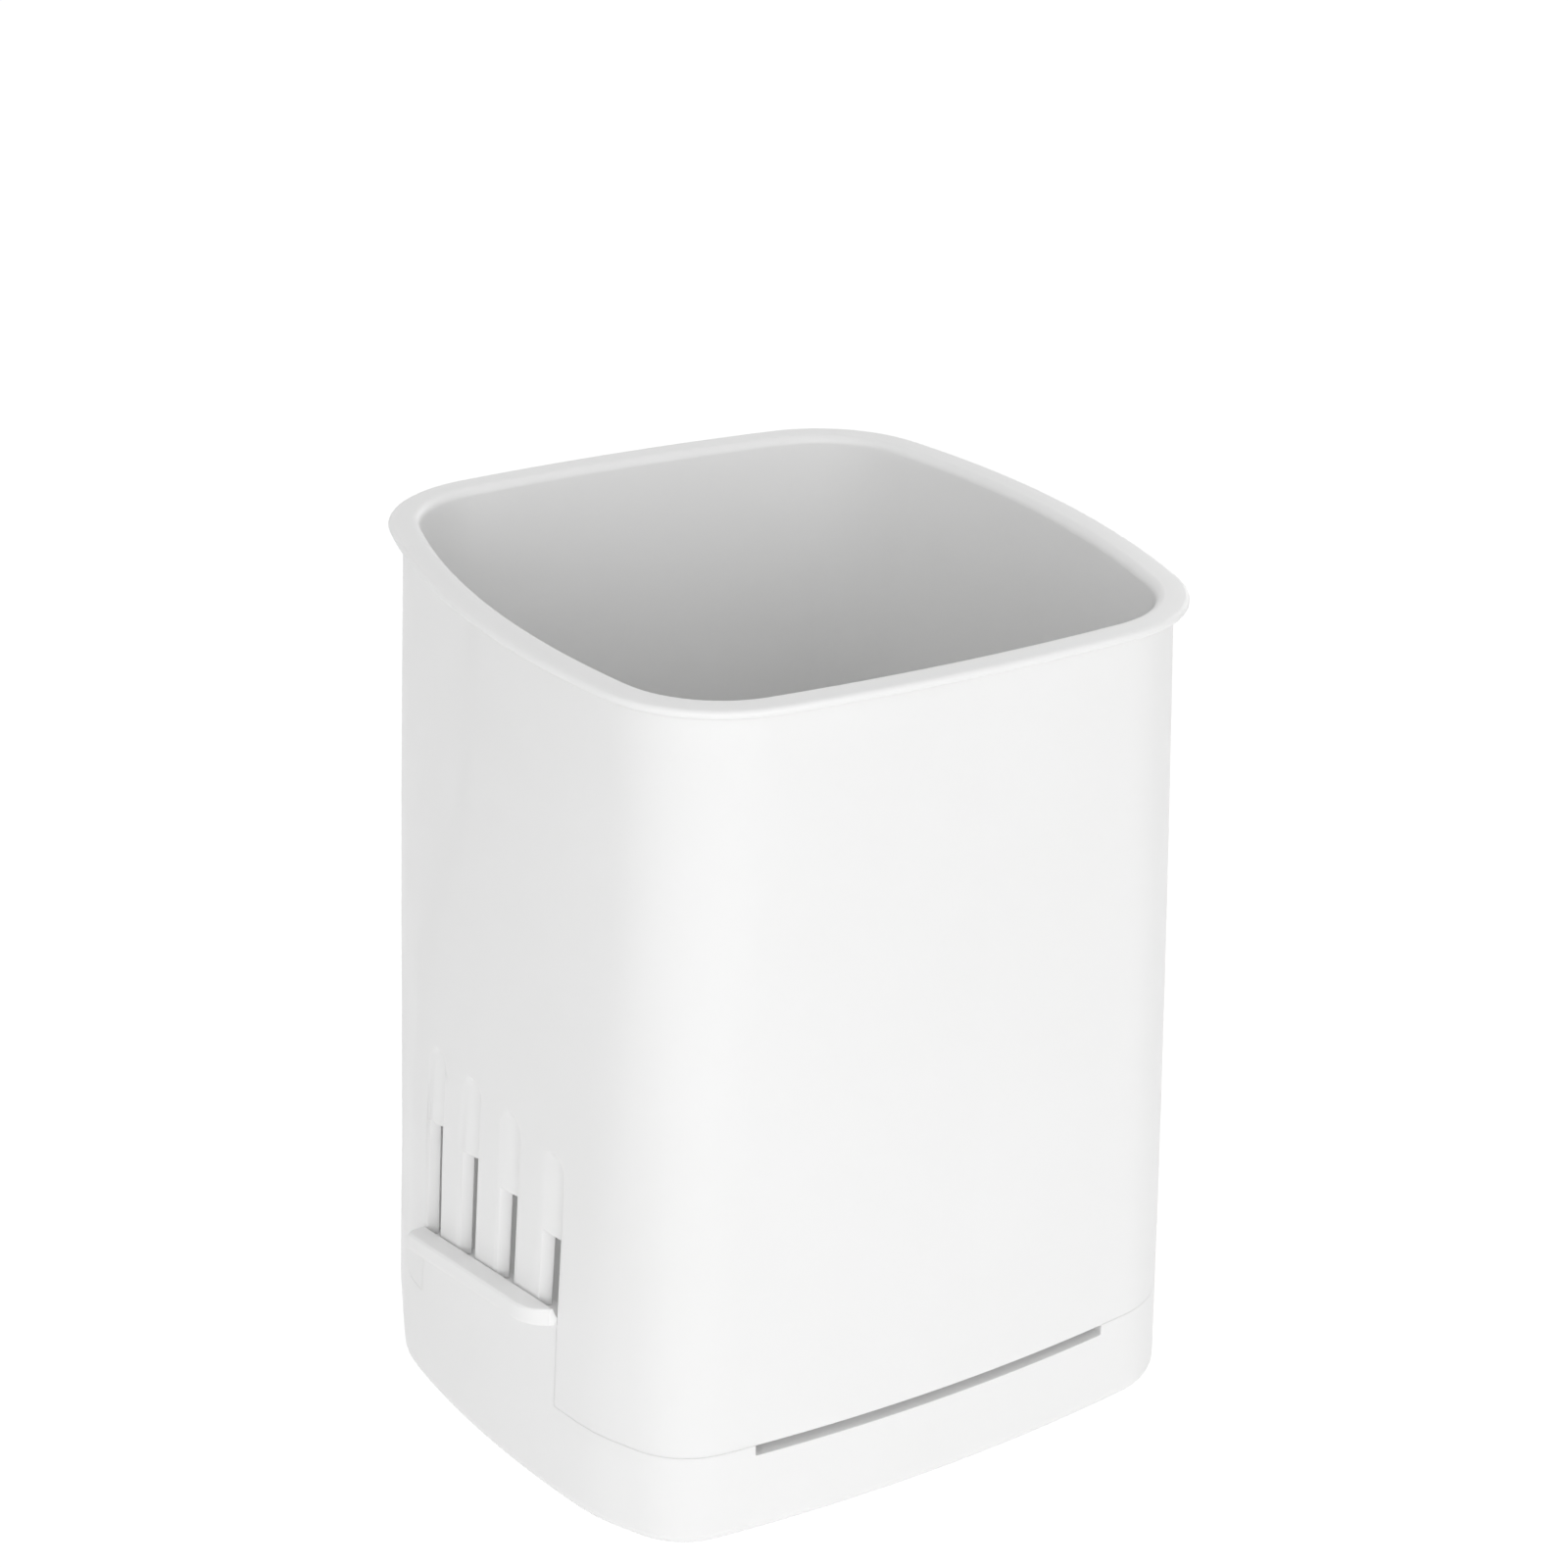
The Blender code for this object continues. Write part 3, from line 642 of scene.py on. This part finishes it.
def tray_profile(what):
    """(inset, height) from the underside, over the wall's top and down to the floor. what is None
    at the seam, "slit", "end" at the tab's ends, or how far the lip stands out. Each has the same
    number of points, so some of them fall together."""
    edge = SEAM_ROUND
    slit_row = TRAY_HEIGHT - SLIT_DEPTH - edge
    seam_row = slit_row if what == "slit" else TRAY_HEIGHT - edge
    points = arc((FOOT_RADIUS, FOOT_RADIUS), FOOT_RADIUS, -90, -180)
    points += [(0.0, slit_row), (0.0, seam_row)]
    tab_top = [(WALL - edge, TAB_WALL_TOP), (WALL, TAB_WALL_TOP - edge)]
    if what in (None, "slit"):
        over = [(0.0, seam_row)] * LIP_PLAIN_POINTS
        over += arc((edge, seam_row), edge, 180, 90, EDGE_STEPS)
        over += arc((WALL - edge, seam_row), edge, 90, 0, EDGE_STEPS)
    elif what == "end":
        over = [(0.0, TAB_WALL_TOP)] * (LIP_PLAIN_POINTS + LIP_ROUND_POINTS - TAB_TOP_POINTS)
        over += tab_top
    else:
        bend = LIP_EDGE_ROUND
        over = [(0.0, LIP_BOTTOM)]
        over += arc((bend - what, LIP_BOTTOM + bend), bend, -90, -180, EDGE_STEPS)
        over += arc((bend - what, LIP_TOP - bend), bend, 180, 90, EDGE_STEPS)
        over += [(-FIT_GAP - edge, LIP_TOP), (-FIT_GAP, LIP_TOP - edge), (-FIT_GAP, TAB_WALL_TOP)]
        over += tab_top
    points += over + [(WALL, seam_row), (WALL, slit_row)]
    inner = (WALL + TRAY_INNER_RADIUS, TRAY_FLOOR + TRAY_INNER_RADIUS)
    return points + arc(inner, TRAY_INNER_RADIUS, 180, 270)


def tray_side_stations():
    """The tray's side from front to back: (y, what its wall does there)."""
    turn = spread(0, math.pi / 2, ROUND_STEPS)
    near = [LIP_FRONT + LIP_NEAR_RADIUS * (1 - math.cos(a)) for a in turn]
    far = [LIP_BACK - LIP_FAR_RADIUS * (1 - math.sin(a)) for a in turn]
    lip = near + stretch(near[-1], far[0])[1:-1] + far
    stations = [(y, None) for y in stretch(-SIDE_MIDDLE, TAB_FRONT)] + [(TAB_FRONT, "end")]
    stations += [(y, lip_reach(y)) for y in lip]
    stations += [(TAB_BACK, "end")] + [(y, None) for y in stretch(TAB_BACK, SIDE_MIDDLE)]
    return stations


def corner_fin(side, end):
    """A curved fin that rises from the tray inside a corner of the cup."""
    crest = FIN_INSET + FIN_THICKNESS / 2
    step = TRAY_HEIGHT - SLIT_DEPTH / 2
    profile = [(WALL - BITE / 2, TRAY_FLOOR - BITE), (WALL - BITE / 2, step), (FIN_INSET, step)]
    profile += arc((crest, FIN_TOP - FIN_THICKNESS / 2), FIN_THICKNESS / 2, 180, 0)
    profile += [(FIN_INSET + FIN_THICKNESS, TRAY_FLOOR - BITE)]
    base = plan(TRAY_HEIGHT)
    first = base.side_angle + FIN_END_ANGLE
    last = base.face_angle - FIN_END_ANGLE
    loops = []
    for angle in spread(first, last, CORNER_STEPS):
        points = [(plan(z).corner_point(angle, inset), z) for inset, z in profile]
        loops.append([Vector((side * point.x, end * point.y, z)) for point, z in points])
    return loops


def posts():
    """Six posts on the tray's floor that carry the drain plate, with a small round at the top."""
    bm = bmesh.new()
    height = POST_TOP - TRAY_FLOOR + BITE / 2
    for x in (-POST_SPACING_X, POST_SPACING_X):
        for y in (-POST_SPACING_Y, 0.0, POST_SPACING_Y):
            place = Matrix.Translation((x, y, POST_TOP - height / 2))
            made = bmesh.ops.create_cone(
                bm, cap_ends=True, segments=POST_SIDES, radius1=POST_RADIUS, radius2=POST_RADIUS,
                depth=height, matrix=place)
            rim = [e for v in made["verts"] for e in v.link_edges
                   if all(abs(w.co.z - POST_TOP) < SAME_POINT for w in e.verts)]
            bmesh.ops.bevel(
                bm, geom=list(set(rim)), offset=EDGE_ROUND, offset_type="OFFSET",
                segments=POST_ROUND_STEPS, profile=POST_ROUND_SHAPE, affect="EDGES", material=-1)
    return tidy(bm, "posts")


def make_tray(finish):
    half = SLIT_LENGTH / 2
    front = [(x, None) for x in stretch(-TRAY_FACE_MIDDLE, -half)]
    front += [(x, "slit") for x in stretch(-half, half)]
    front += [(x, None) for x in stretch(half, TRAY_FACE_MIDDLE)]
    around = [(place, tray_profile(what)) for place, what in uprights(tray_side_stations(), front)]
    loops = []
    for step in range(len(tray_profile(None))):
        loops.append([place(profile[step][1], profile[step][0]) for place, profile in around])
    fins = [corner_fin(side, end) for side in (-1, 1) for end in (-1, 1)]
    mesh = carved(shells("tray wall", [loops]), [
        ("UNION", shells("fins", fins)),
        ("UNION", posts()),
    ])
    shape_sides(mesh)
    finished_piece("drip_tray", mesh, finish, "tray", "tray_white", "base_tray")


def drain_slot(x, y):
    """Cutter for one round-ended slot with softened edges."""
    straight = (DRAIN_LENGTH - DRAIN_WIDTH) / 2
    edge = EDGE_ROUND
    loops = []
    heights = [(PLATE_RISE - BITE, edge), (PLATE_RISE, edge), (PLATE_RISE + edge, 0.0),
               (PLATE_TOP - edge, 0.0), (PLATE_TOP, edge), (PLATE_TOP + BITE, edge)]
    for z, grow in heights:
        outline = []
        for sign, start in ((1, -90), (-1, 90)):
            middle = (x + sign * straight, y)
            outline += arc(middle, DRAIN_WIDTH / 2 + grow, start, start + 180, 2 * ROUND_STEPS)
        loops.append([Vector((a, b, z)) for a, b in outline])
    return loops


def make_drain_plate(finish):
    around = uprights([(y, None) for y in stretch(-SIDE_MIDDLE, SIDE_MIDDLE)],
                      [(x, None) for x in stretch(-TRAY_FACE_MIDDLE, TRAY_FACE_MIDDLE)])
    edge = EDGE_ROUND
    profile = arc((PLATE_INSET + edge, PLATE_RISE + edge), edge, -90, -180, EDGE_STEPS)
    profile += arc((PLATE_INSET + edge, PLATE_TOP - edge), edge, 180, 90, EDGE_STEPS)
    loops = [[place(z, inset) for place, _ in around] for inset, z in profile]
    slots = []
    for column in range(DRAIN_COLUMNS):
        for row in range(DRAIN_ROWS):
            x = (column - (DRAIN_COLUMNS - 1) / 2) * DRAIN_PITCH_X
            y = (row - (DRAIN_ROWS - 1) / 2) * DRAIN_PITCH_Y
            slots.append(drain_slot(x, y))
    mesh = carved(shells("plate", [loops]), [("DIFFERENCE", shells("slots", slots))])
    finished_piece("drain_grille", mesh, finish, "drain", "plate_white", "drain_plate")


def rounded_rectangle(width, height, radius, y):
    """Upright rounded rectangle around the middle of the wall plate."""
    points = []
    for turn in range(4):
        sign_x = 1 if turn in (0, 3) else -1
        sign_z = 1 if turn in (0, 1) else -1
        middle = (sign_x * (width / 2 - radius), MOUNT_MIDDLE + sign_z * (height / 2 - radius))
        for x, z in arc(middle, radius, 90 * turn, 90 * turn + 90):
            points.append(Vector((x, y, z)))
    return points


def make_wall_plate(finish):
    width = mount_high[0] - mount_low[0]
    height = mount_high[2] - mount_low[2]
    edge = BACKPLATE_EDGE_ROUND
    loops = []
    for inset, y in arc((edge, BACKPLATE_FRONT + edge), edge, -90, -180):
        radius = BACKPLATE_RADIUS - inset
        loops.append(rounded_rectangle(width - 2 * inset, height - 2 * inset, radius, y))
    loops.append(rounded_rectangle(width, height, BACKPLATE_RADIUS, BACKPLATE_BACK))
    embed = BACKPLATE_FRONT + BACKPLATE_DEPTH / 2
    top = SLOT_TOP - FIT_GAP
    tongue = [tongue_outline(SADDLE_BOTTOM + TONGUE_INSET, 0.0, embed),
              tongue_outline(top - TONGUE_LEAD, 0.0, embed),
              tongue_outline(top, 0.0, embed, TONGUE_LEAD)]
    mesh = carved(shells("backplate", [loops]), [("UNION", shells("tongue", [tongue]))])
    finished_piece("hanging_plate", mesh, finish, "wall_mount", "wall_plate_white", "wall_plate")


def make_pad(finish):
    """Foam pad whose edge bulges a little between its two sticky faces."""
    width = pad_high[0] - pad_low[0]
    height = pad_high[2] - pad_low[2]
    depth = pad_high[1] - pad_low[1]
    front = pad_low[1] - AXIS_Y
    loops = []
    for step in spread(0, 1, ROUND_STEPS):
        inset = PAD_BULGE * (1 - math.sin(math.pi * step))
        radius = BACKPLATE_RADIUS - PAD_BORDER - inset
        y = front + depth * step
        loops.append(rounded_rectangle(width - 2 * inset, height - 2 * inset, radius, y))
    mesh = shells("pad", [loops])
    pad = finished_piece("foam_pad", mesh, finish, "wall_mount", "pad_foam", "adhesive_pad")


# Patterns in the plastics and the foam, as cells or waves in a metre, and the optics of both
FLOW_SCALE = 22.0
GLOSS_PATCH_SCALE = 160.0
FOAM_PATCH_SCALE = 500.0
FINE_DETAIL = 2
FLOW_DETAIL = 3
GLOSS_PATCH_DETAIL = 4
GLOSS_PATCH_CONTRAST = 0.6
FLOW_RANGE = (0.35, 0.65)
PATCH_RANGE = (0.3, 0.7)
FOAM_ROUGHNESS = (0.8, 0.95)
CELL_EDGE = 0.25
PLASTIC_IOR = 1.49
FOAM_IOR = 1.45
GLOW_SHARE = 0.6
GLOW_DEPTH = 0.0004


def new_group(name, inputs, outputs):
    """An empty shader node group with named value, vector and colour sockets."""
    group = bpy.data.node_groups.new(name, "ShaderNodeTree")
    kinds = {"value": "NodeSocketFloat", "vector": "NodeSocketVector", "colour": "NodeSocketColor"}
    for label, kind, default in inputs:
        socket = group.interface.new_socket(name=label, in_out="INPUT", socket_type=kinds[kind])
        if default is not None:
            socket.default_value = default
    for label, kind in outputs:
        group.interface.new_socket(name=label, in_out="OUTPUT", socket_type=kinds[kind])
    return group, group.nodes.new("NodeGroupInput"), group.nodes.new("NodeGroupOutput")


def noise(group, vector, scale, detail, roughness=0.5):
    """A noise texture; scale is a socket or a number."""
    texture = group.nodes.new("ShaderNodeTexNoise")
    texture.inputs["Detail"].default_value = detail
    texture.inputs["Roughness"].default_value = roughness
    group.links.new(vector, texture.inputs["Vector"])
    if isinstance(scale, bpy.types.NodeSocket):
        group.links.new(scale, texture.inputs["Scale"])
    else:
        texture.inputs["Scale"].default_value = scale
    return texture.outputs["Fac"]


def remap(group, value, old_range, new_low, new_high):
    """Map a value from one range to another; the new ends are sockets or numbers."""
    node = group.nodes.new("ShaderNodeMapRange")
    group.links.new(value, node.inputs["Value"])
    node.inputs["From Min"].default_value = old_range[0]
    node.inputs["From Max"].default_value = old_range[1]
    for label, end in (("To Min", new_low), ("To Max", new_high)):
        if isinstance(end, bpy.types.NodeSocket):
            group.links.new(end, node.inputs[label])
        else:
            node.inputs[label].default_value = end
    return node.outputs["Result"]


def mix_colours(group, share, first, second):
    """The first colour where share is 0, the second where it is 1."""
    node = group.nodes.new("ShaderNodeMix")
    node.data_type = "RGBA"
    colour_inputs = [s for s in node.inputs if s.type == "RGBA"]
    value_inputs = [s for s in node.inputs if s.type == "VALUE"]
    group.links.new(share, value_inputs[0])
    group.links.new(first, colour_inputs[0])
    group.links.new(second, colour_inputs[1])
    return next(s for s in node.outputs if s.type == "RGBA")


def moulded_skin_group():
    """Moulded plastic: fine grain, slow flow marks in the tone and patches that differ in gloss."""
    group, source, result = new_group("moulded skin", [
        ("Place", "vector", None),
        ("Colour", "colour", (0.87, 0.87, 0.87, 1)),
        ("Flow Colour", "colour", (0.85, 0.85, 0.85, 1)),
        ("Grain Scale", "value", 3000.0),
        ("Least Roughness", "value", 0.3),
        ("Most Roughness", "value", 0.4),
    ], [("Colour", "colour"), ("Roughness", "value"), ("Height", "value")])
    place = source.outputs["Place"]
    flow = remap(group, noise(group, place, FLOW_SCALE, FLOW_DETAIL), FLOW_RANGE, 0.0, 1.0)
    colour = mix_colours(group, flow, source.outputs["Colour"], source.outputs["Flow Colour"])
    patches = noise(group, place, GLOSS_PATCH_SCALE, GLOSS_PATCH_DETAIL, GLOSS_PATCH_CONTRAST)
    roughness = remap(group, patches, PATCH_RANGE,
                      source.outputs["Least Roughness"], source.outputs["Most Roughness"])
    grain = noise(group, place, source.outputs["Grain Scale"], FINE_DETAIL)
    group.links.new(colour, result.inputs["Colour"])
    group.links.new(roughness, result.inputs["Roughness"])
    group.links.new(grain, result.inputs["Height"])
    return group


def foam_group():
    """Closed-cell foam: packed cells of about half a millimetre, with painted shade in the dips
    between them.
    """
    group, source, result = new_group("foam cells", [
        ("Place", "vector", None),
        ("Cell Colour", "colour", (0.57, 0.58, 0.59, 1)),
        ("Painted Gap Shade", "colour", (0.40, 0.41, 0.42, 1)),
        ("Cell Scale", "value", 2200.0),
    ], [("Colour", "colour"), ("Roughness", "value"), ("Height", "value")])
    place = source.outputs["Place"]
    cells = group.nodes.new("ShaderNodeTexVoronoi")
    cells.feature = "DISTANCE_TO_EDGE"
    group.links.new(place, cells.inputs["Vector"])
    group.links.new(source.outputs["Cell Scale"], cells.inputs["Scale"])
    height = remap(group, cells.outputs["Distance"], (0.0, CELL_EDGE), 0.0, 1.0)
    # The colour between the cells is painted shade: it is darker where the cells' relief dips.
    colour = mix_colours(group, height, source.outputs["Painted Gap Shade"], source.outputs["Cell Colour"])
    patches = noise(group, place, FOAM_PATCH_SCALE, FINE_DETAIL)
    roughness = remap(group, patches, PATCH_RANGE, *FOAM_ROUGHNESS)
    group.links.new(colour, result.inputs["Colour"])
    group.links.new(roughness, result.inputs["Roughness"])
    group.links.new(height, result.inputs["Height"])
    return group


def surface(name, group, values, bump, relief, ior, clear=0.0):
    """A material whose colour, roughness and relief come from a group, fed with object space. bump
    is the relief's strength, relief its height in metres, and clear the share of the light that
    goes into the plastic and comes out nearby."""
    finish = bpy.data.materials.new(name)
    finish.use_nodes = True
    tree = finish.node_tree
    shader = tree.nodes["Principled BSDF"]
    shader.inputs["Metallic"].default_value = 0.0
    shader.inputs["IOR"].default_value = ior
    shader.inputs["Subsurface Weight"].default_value = clear
    shader.inputs["Subsurface Radius"].default_value = (1.0, 1.0, 1.0)
    shader.inputs["Subsurface Scale"].default_value = GLOW_DEPTH
    coordinates = tree.nodes.new("ShaderNodeTexCoord")
    pattern = tree.nodes.new("ShaderNodeGroup")
    pattern.node_tree = group
    tree.links.new(coordinates.outputs["Object"], pattern.inputs["Place"])
    for label, value in values.items():
        pattern.inputs[label].default_value = value
    relief_node = tree.nodes.new("ShaderNodeBump")
    relief_node.inputs["Strength"].default_value = bump
    relief_node.inputs["Distance"].default_value = relief
    tree.links.new(pattern.outputs["Height"], relief_node.inputs["Height"])
    tree.links.new(pattern.outputs["Colour"], shader.inputs["Base Color"])
    tree.links.new(pattern.outputs["Roughness"], shader.inputs["Roughness"])
    tree.links.new(relief_node.outputs["Normal"], shader.inputs["Normal"])
    return finish


def cup_white(skin):
    look = {"Colour": (0.90, 0.90, 0.898, 1), "Flow Colour": (0.888, 0.888, 0.884, 1),
            "Grain Scale": 2600.0, "Least Roughness": 0.30, "Most Roughness": 0.38}
    return surface("cup white", skin, look, bump=0.25, relief=0.00001, ior=PLASTIC_IOR,
                   clear=GLOW_SHARE)


def tray_white(skin):
    look = {"Colour": (0.905, 0.905, 0.903, 1), "Flow Colour": (0.892, 0.892, 0.888, 1),
            "Grain Scale": 2400.0, "Least Roughness": 0.30, "Most Roughness": 0.39}
    return surface("tray white", skin, look, bump=0.25, relief=0.00001, ior=PLASTIC_IOR,
                   clear=GLOW_SHARE)


def plate_white(skin):
    look = {"Colour": (0.85, 0.85, 0.845, 1), "Flow Colour": (0.835, 0.835, 0.828, 1),
            "Grain Scale": 2000.0, "Least Roughness": 0.38, "Most Roughness": 0.50}
    return surface("plate white", skin, look, bump=0.4, relief=0.000015, ior=PLASTIC_IOR)


def wall_plate_white(skin):
    look = {"Colour": (0.84, 0.84, 0.835, 1), "Flow Colour": (0.82, 0.82, 0.812, 1),
            "Grain Scale": 1600.0, "Least Roughness": 0.42, "Most Roughness": 0.56}
    return surface("wall plate white", skin, look, bump=0.5, relief=0.00003, ior=PLASTIC_IOR)


def pad_grey(cells):
    return surface("pad grey", cells, {}, bump=0.6, relief=0.00008, ior=FOAM_IOR)


# Camera, found from the cup's outline in the photograph, and the photograph's own frame
PHOTO_WIDTH = 1600
FOCAL_PIXELS = 2864.82
CENTRE_PIXEL_X = 791.3
CENTRE_PIXEL_Y = 640.0
SENSOR = 36.0
NEAREST_SEEN = 0.01
CAMERA_TARGET_RISE = 0.100176
CAMERA_DISTANCE = 0.354426
CAMERA_YAW = math.radians(29.7137)
CAMERA_PITCH = math.radians(21.4806)
CAMERA_ROLL = math.radians(0.7035)


def make_camera():
    data = bpy.data.cameras.new("photograph view")
    data.sensor_width = SENSOR
    data.lens = FOCAL_PIXELS * SENSOR / PHOTO_WIDTH
    data.shift_x = (PHOTO_WIDTH / 2 - CENTRE_PIXEL_X) / PHOTO_WIDTH
    data.shift_y = (CENTRE_PIXEL_Y - PHOTO_WIDTH / 2) / PHOTO_WIDTH
    data.clip_start = NEAREST_SEEN
    camera = bpy.data.objects.new("photograph view", data)
    ahead = Vector((math.sin(CAMERA_YAW) * math.cos(CAMERA_PITCH),
                    math.cos(CAMERA_YAW) * math.cos(CAMERA_PITCH), -math.sin(CAMERA_PITCH)))
    level = Vector((math.cos(CAMERA_YAW), -math.sin(CAMERA_YAW), 0))
    above = level.cross(ahead)
    right = math.cos(CAMERA_ROLL) * level + math.sin(CAMERA_ROLL) * above
    up = math.cos(CAMERA_ROLL) * above - math.sin(CAMERA_ROLL) * level
    target = CUP_AXIS + Vector((0, 0, CAMERA_TARGET_RISE))
    turn = Matrix((right, up, -ahead)).transposed().to_4x4()
    camera.matrix_world = Matrix.Translation(target - ahead * CAMERA_DISTANCE) @ turn
    bpy.context.scene.collection.objects.link(camera)
    bpy.context.scene.camera = camera


# Studio: a pale floor well below the holder, which hangs, and soft light
FLOOR_DROP = 0.45
FLOOR_SIZE = 12.0
FLOOR_SQUARES = 8
FLOOR_COLOUR = (0.97, 0.97, 0.97, 1)
FLOOR_ROUGHNESS = 0.9
FLOOR_WHITE = 1.12
FLOOR_WHITE_SHARE = 0.85
SKY_LIGHT = 0.60
LAMP_DISTANCE = 1.4
LAMP_SIZE = 0.9


def seen_directly(tree):
    """1 for camera, glossy and transmission rays, 0 for the rays that light the object."""
    path = tree.nodes.new("ShaderNodeLightPath")
    total = path.outputs["Is Camera Ray"]
    for label in ("Is Glossy Ray", "Is Transmission Ray"):
        join = tree.nodes.new("ShaderNodeMath")
        join.operation = "MAXIMUM"
        tree.links.new(total, join.inputs[0])
        tree.links.new(path.outputs[label], join.inputs[1])
        total = join.outputs["Value"]
    return total


def make_floor():
    bm = bmesh.new()
    place = Matrix.Translation((0, 0, UNDERSIDE - FLOOR_DROP))
    bmesh.ops.create_grid(bm, x_segments=FLOOR_SQUARES, y_segments=FLOOR_SQUARES,
                          size=FLOOR_SIZE / 2, matrix=place)
    floor = bpy.data.objects.new("floor", tidy(bm, "floor"))
    finish = bpy.data.materials.new("pale floor")
    finish.use_nodes = True
    tree = finish.node_tree
    shader = tree.nodes["Principled BSDF"]
    shader.inputs["Base Color"].default_value = FLOOR_COLOUR
    shader.inputs["Roughness"].default_value = FLOOR_ROUGHNESS
    white = tree.nodes.new("ShaderNodeEmission")
    white.inputs["Strength"].default_value = FLOOR_WHITE
    share = tree.nodes.new("ShaderNodeMath")
    share.operation = "MULTIPLY"
    share.inputs[1].default_value = FLOOR_WHITE_SHARE
    tree.links.new(seen_directly(tree), share.inputs[0])
    mix = tree.nodes.new("ShaderNodeMixShader")
    tree.links.new(share.outputs["Value"], mix.inputs["Fac"])
    tree.links.new(shader.outputs["BSDF"], mix.inputs[1])
    tree.links.new(white.outputs["Emission"], mix.inputs[2])
    tree.links.new(mix.outputs["Shader"], tree.nodes["Material Output"].inputs["Surface"])
    floor.data.materials.append(finish)
    bpy.context.scene.collection.objects.link(floor)


def make_sky():
    world = bpy.data.worlds.new("studio")
    world.use_nodes = True
    tree = world.node_tree
    sky = tree.nodes["Background"]
    strength = tree.nodes.new("ShaderNodeMapRange")
    tree.links.new(seen_directly(tree), strength.inputs["Value"])
    strength.inputs["To Min"].default_value = SKY_LIGHT
    strength.inputs["To Max"].default_value = 1.0
    sky.inputs["Color"].default_value = (1, 1, 1, 1)
    tree.links.new(strength.outputs["Result"], sky.inputs["Strength"])
    bpy.context.scene.world = world


def soft_lamp(name, azimuth, elevation, power):
    """A square soft lamp aimed at the holder. Azimuth 0 is in front of it and 90 on its left, both
    angles are in degrees and the power is in watts."""
    data = bpy.data.lights.new(name, "AREA")
    data.shape = "SQUARE"
    data.size = LAMP_SIZE
    data.energy = power
    lamp = bpy.data.objects.new(name, data)
    turn = math.radians(azimuth)
    rise = math.radians(elevation)
    away = Vector((-math.sin(turn) * math.cos(rise), -math.cos(turn) * math.cos(rise),
                   math.sin(rise)))
    target = CUP_AXIS + Vector((0, 0, HEIGHT / 2))
    lamp.location = target + away * LAMP_DISTANCE
    lamp.rotation_euler = away.to_track_quat("Z", "Y").to_euler()
    bpy.context.scene.collection.objects.link(lamp)


def make_studio():
    make_floor()
    make_sky()
    soft_lamp("front lamp", azimuth=-2, elevation=12, power=4.2)
    soft_lamp("left lamp", azimuth=44, elevation=20, power=4.5)
    soft_lamp("right lamp", azimuth=240, elevation=20, power=2.8)
    bpy.context.scene.view_settings.view_transform = "Standard"


make_camera()
make_studio()
skin = moulded_skin_group()
make_cup(cup_white(skin))
make_tray(tray_white(skin))
make_drain_plate(plate_white(skin))
make_wall_plate(wall_plate_white(skin))
make_pad(pad_grey(foam_group()))
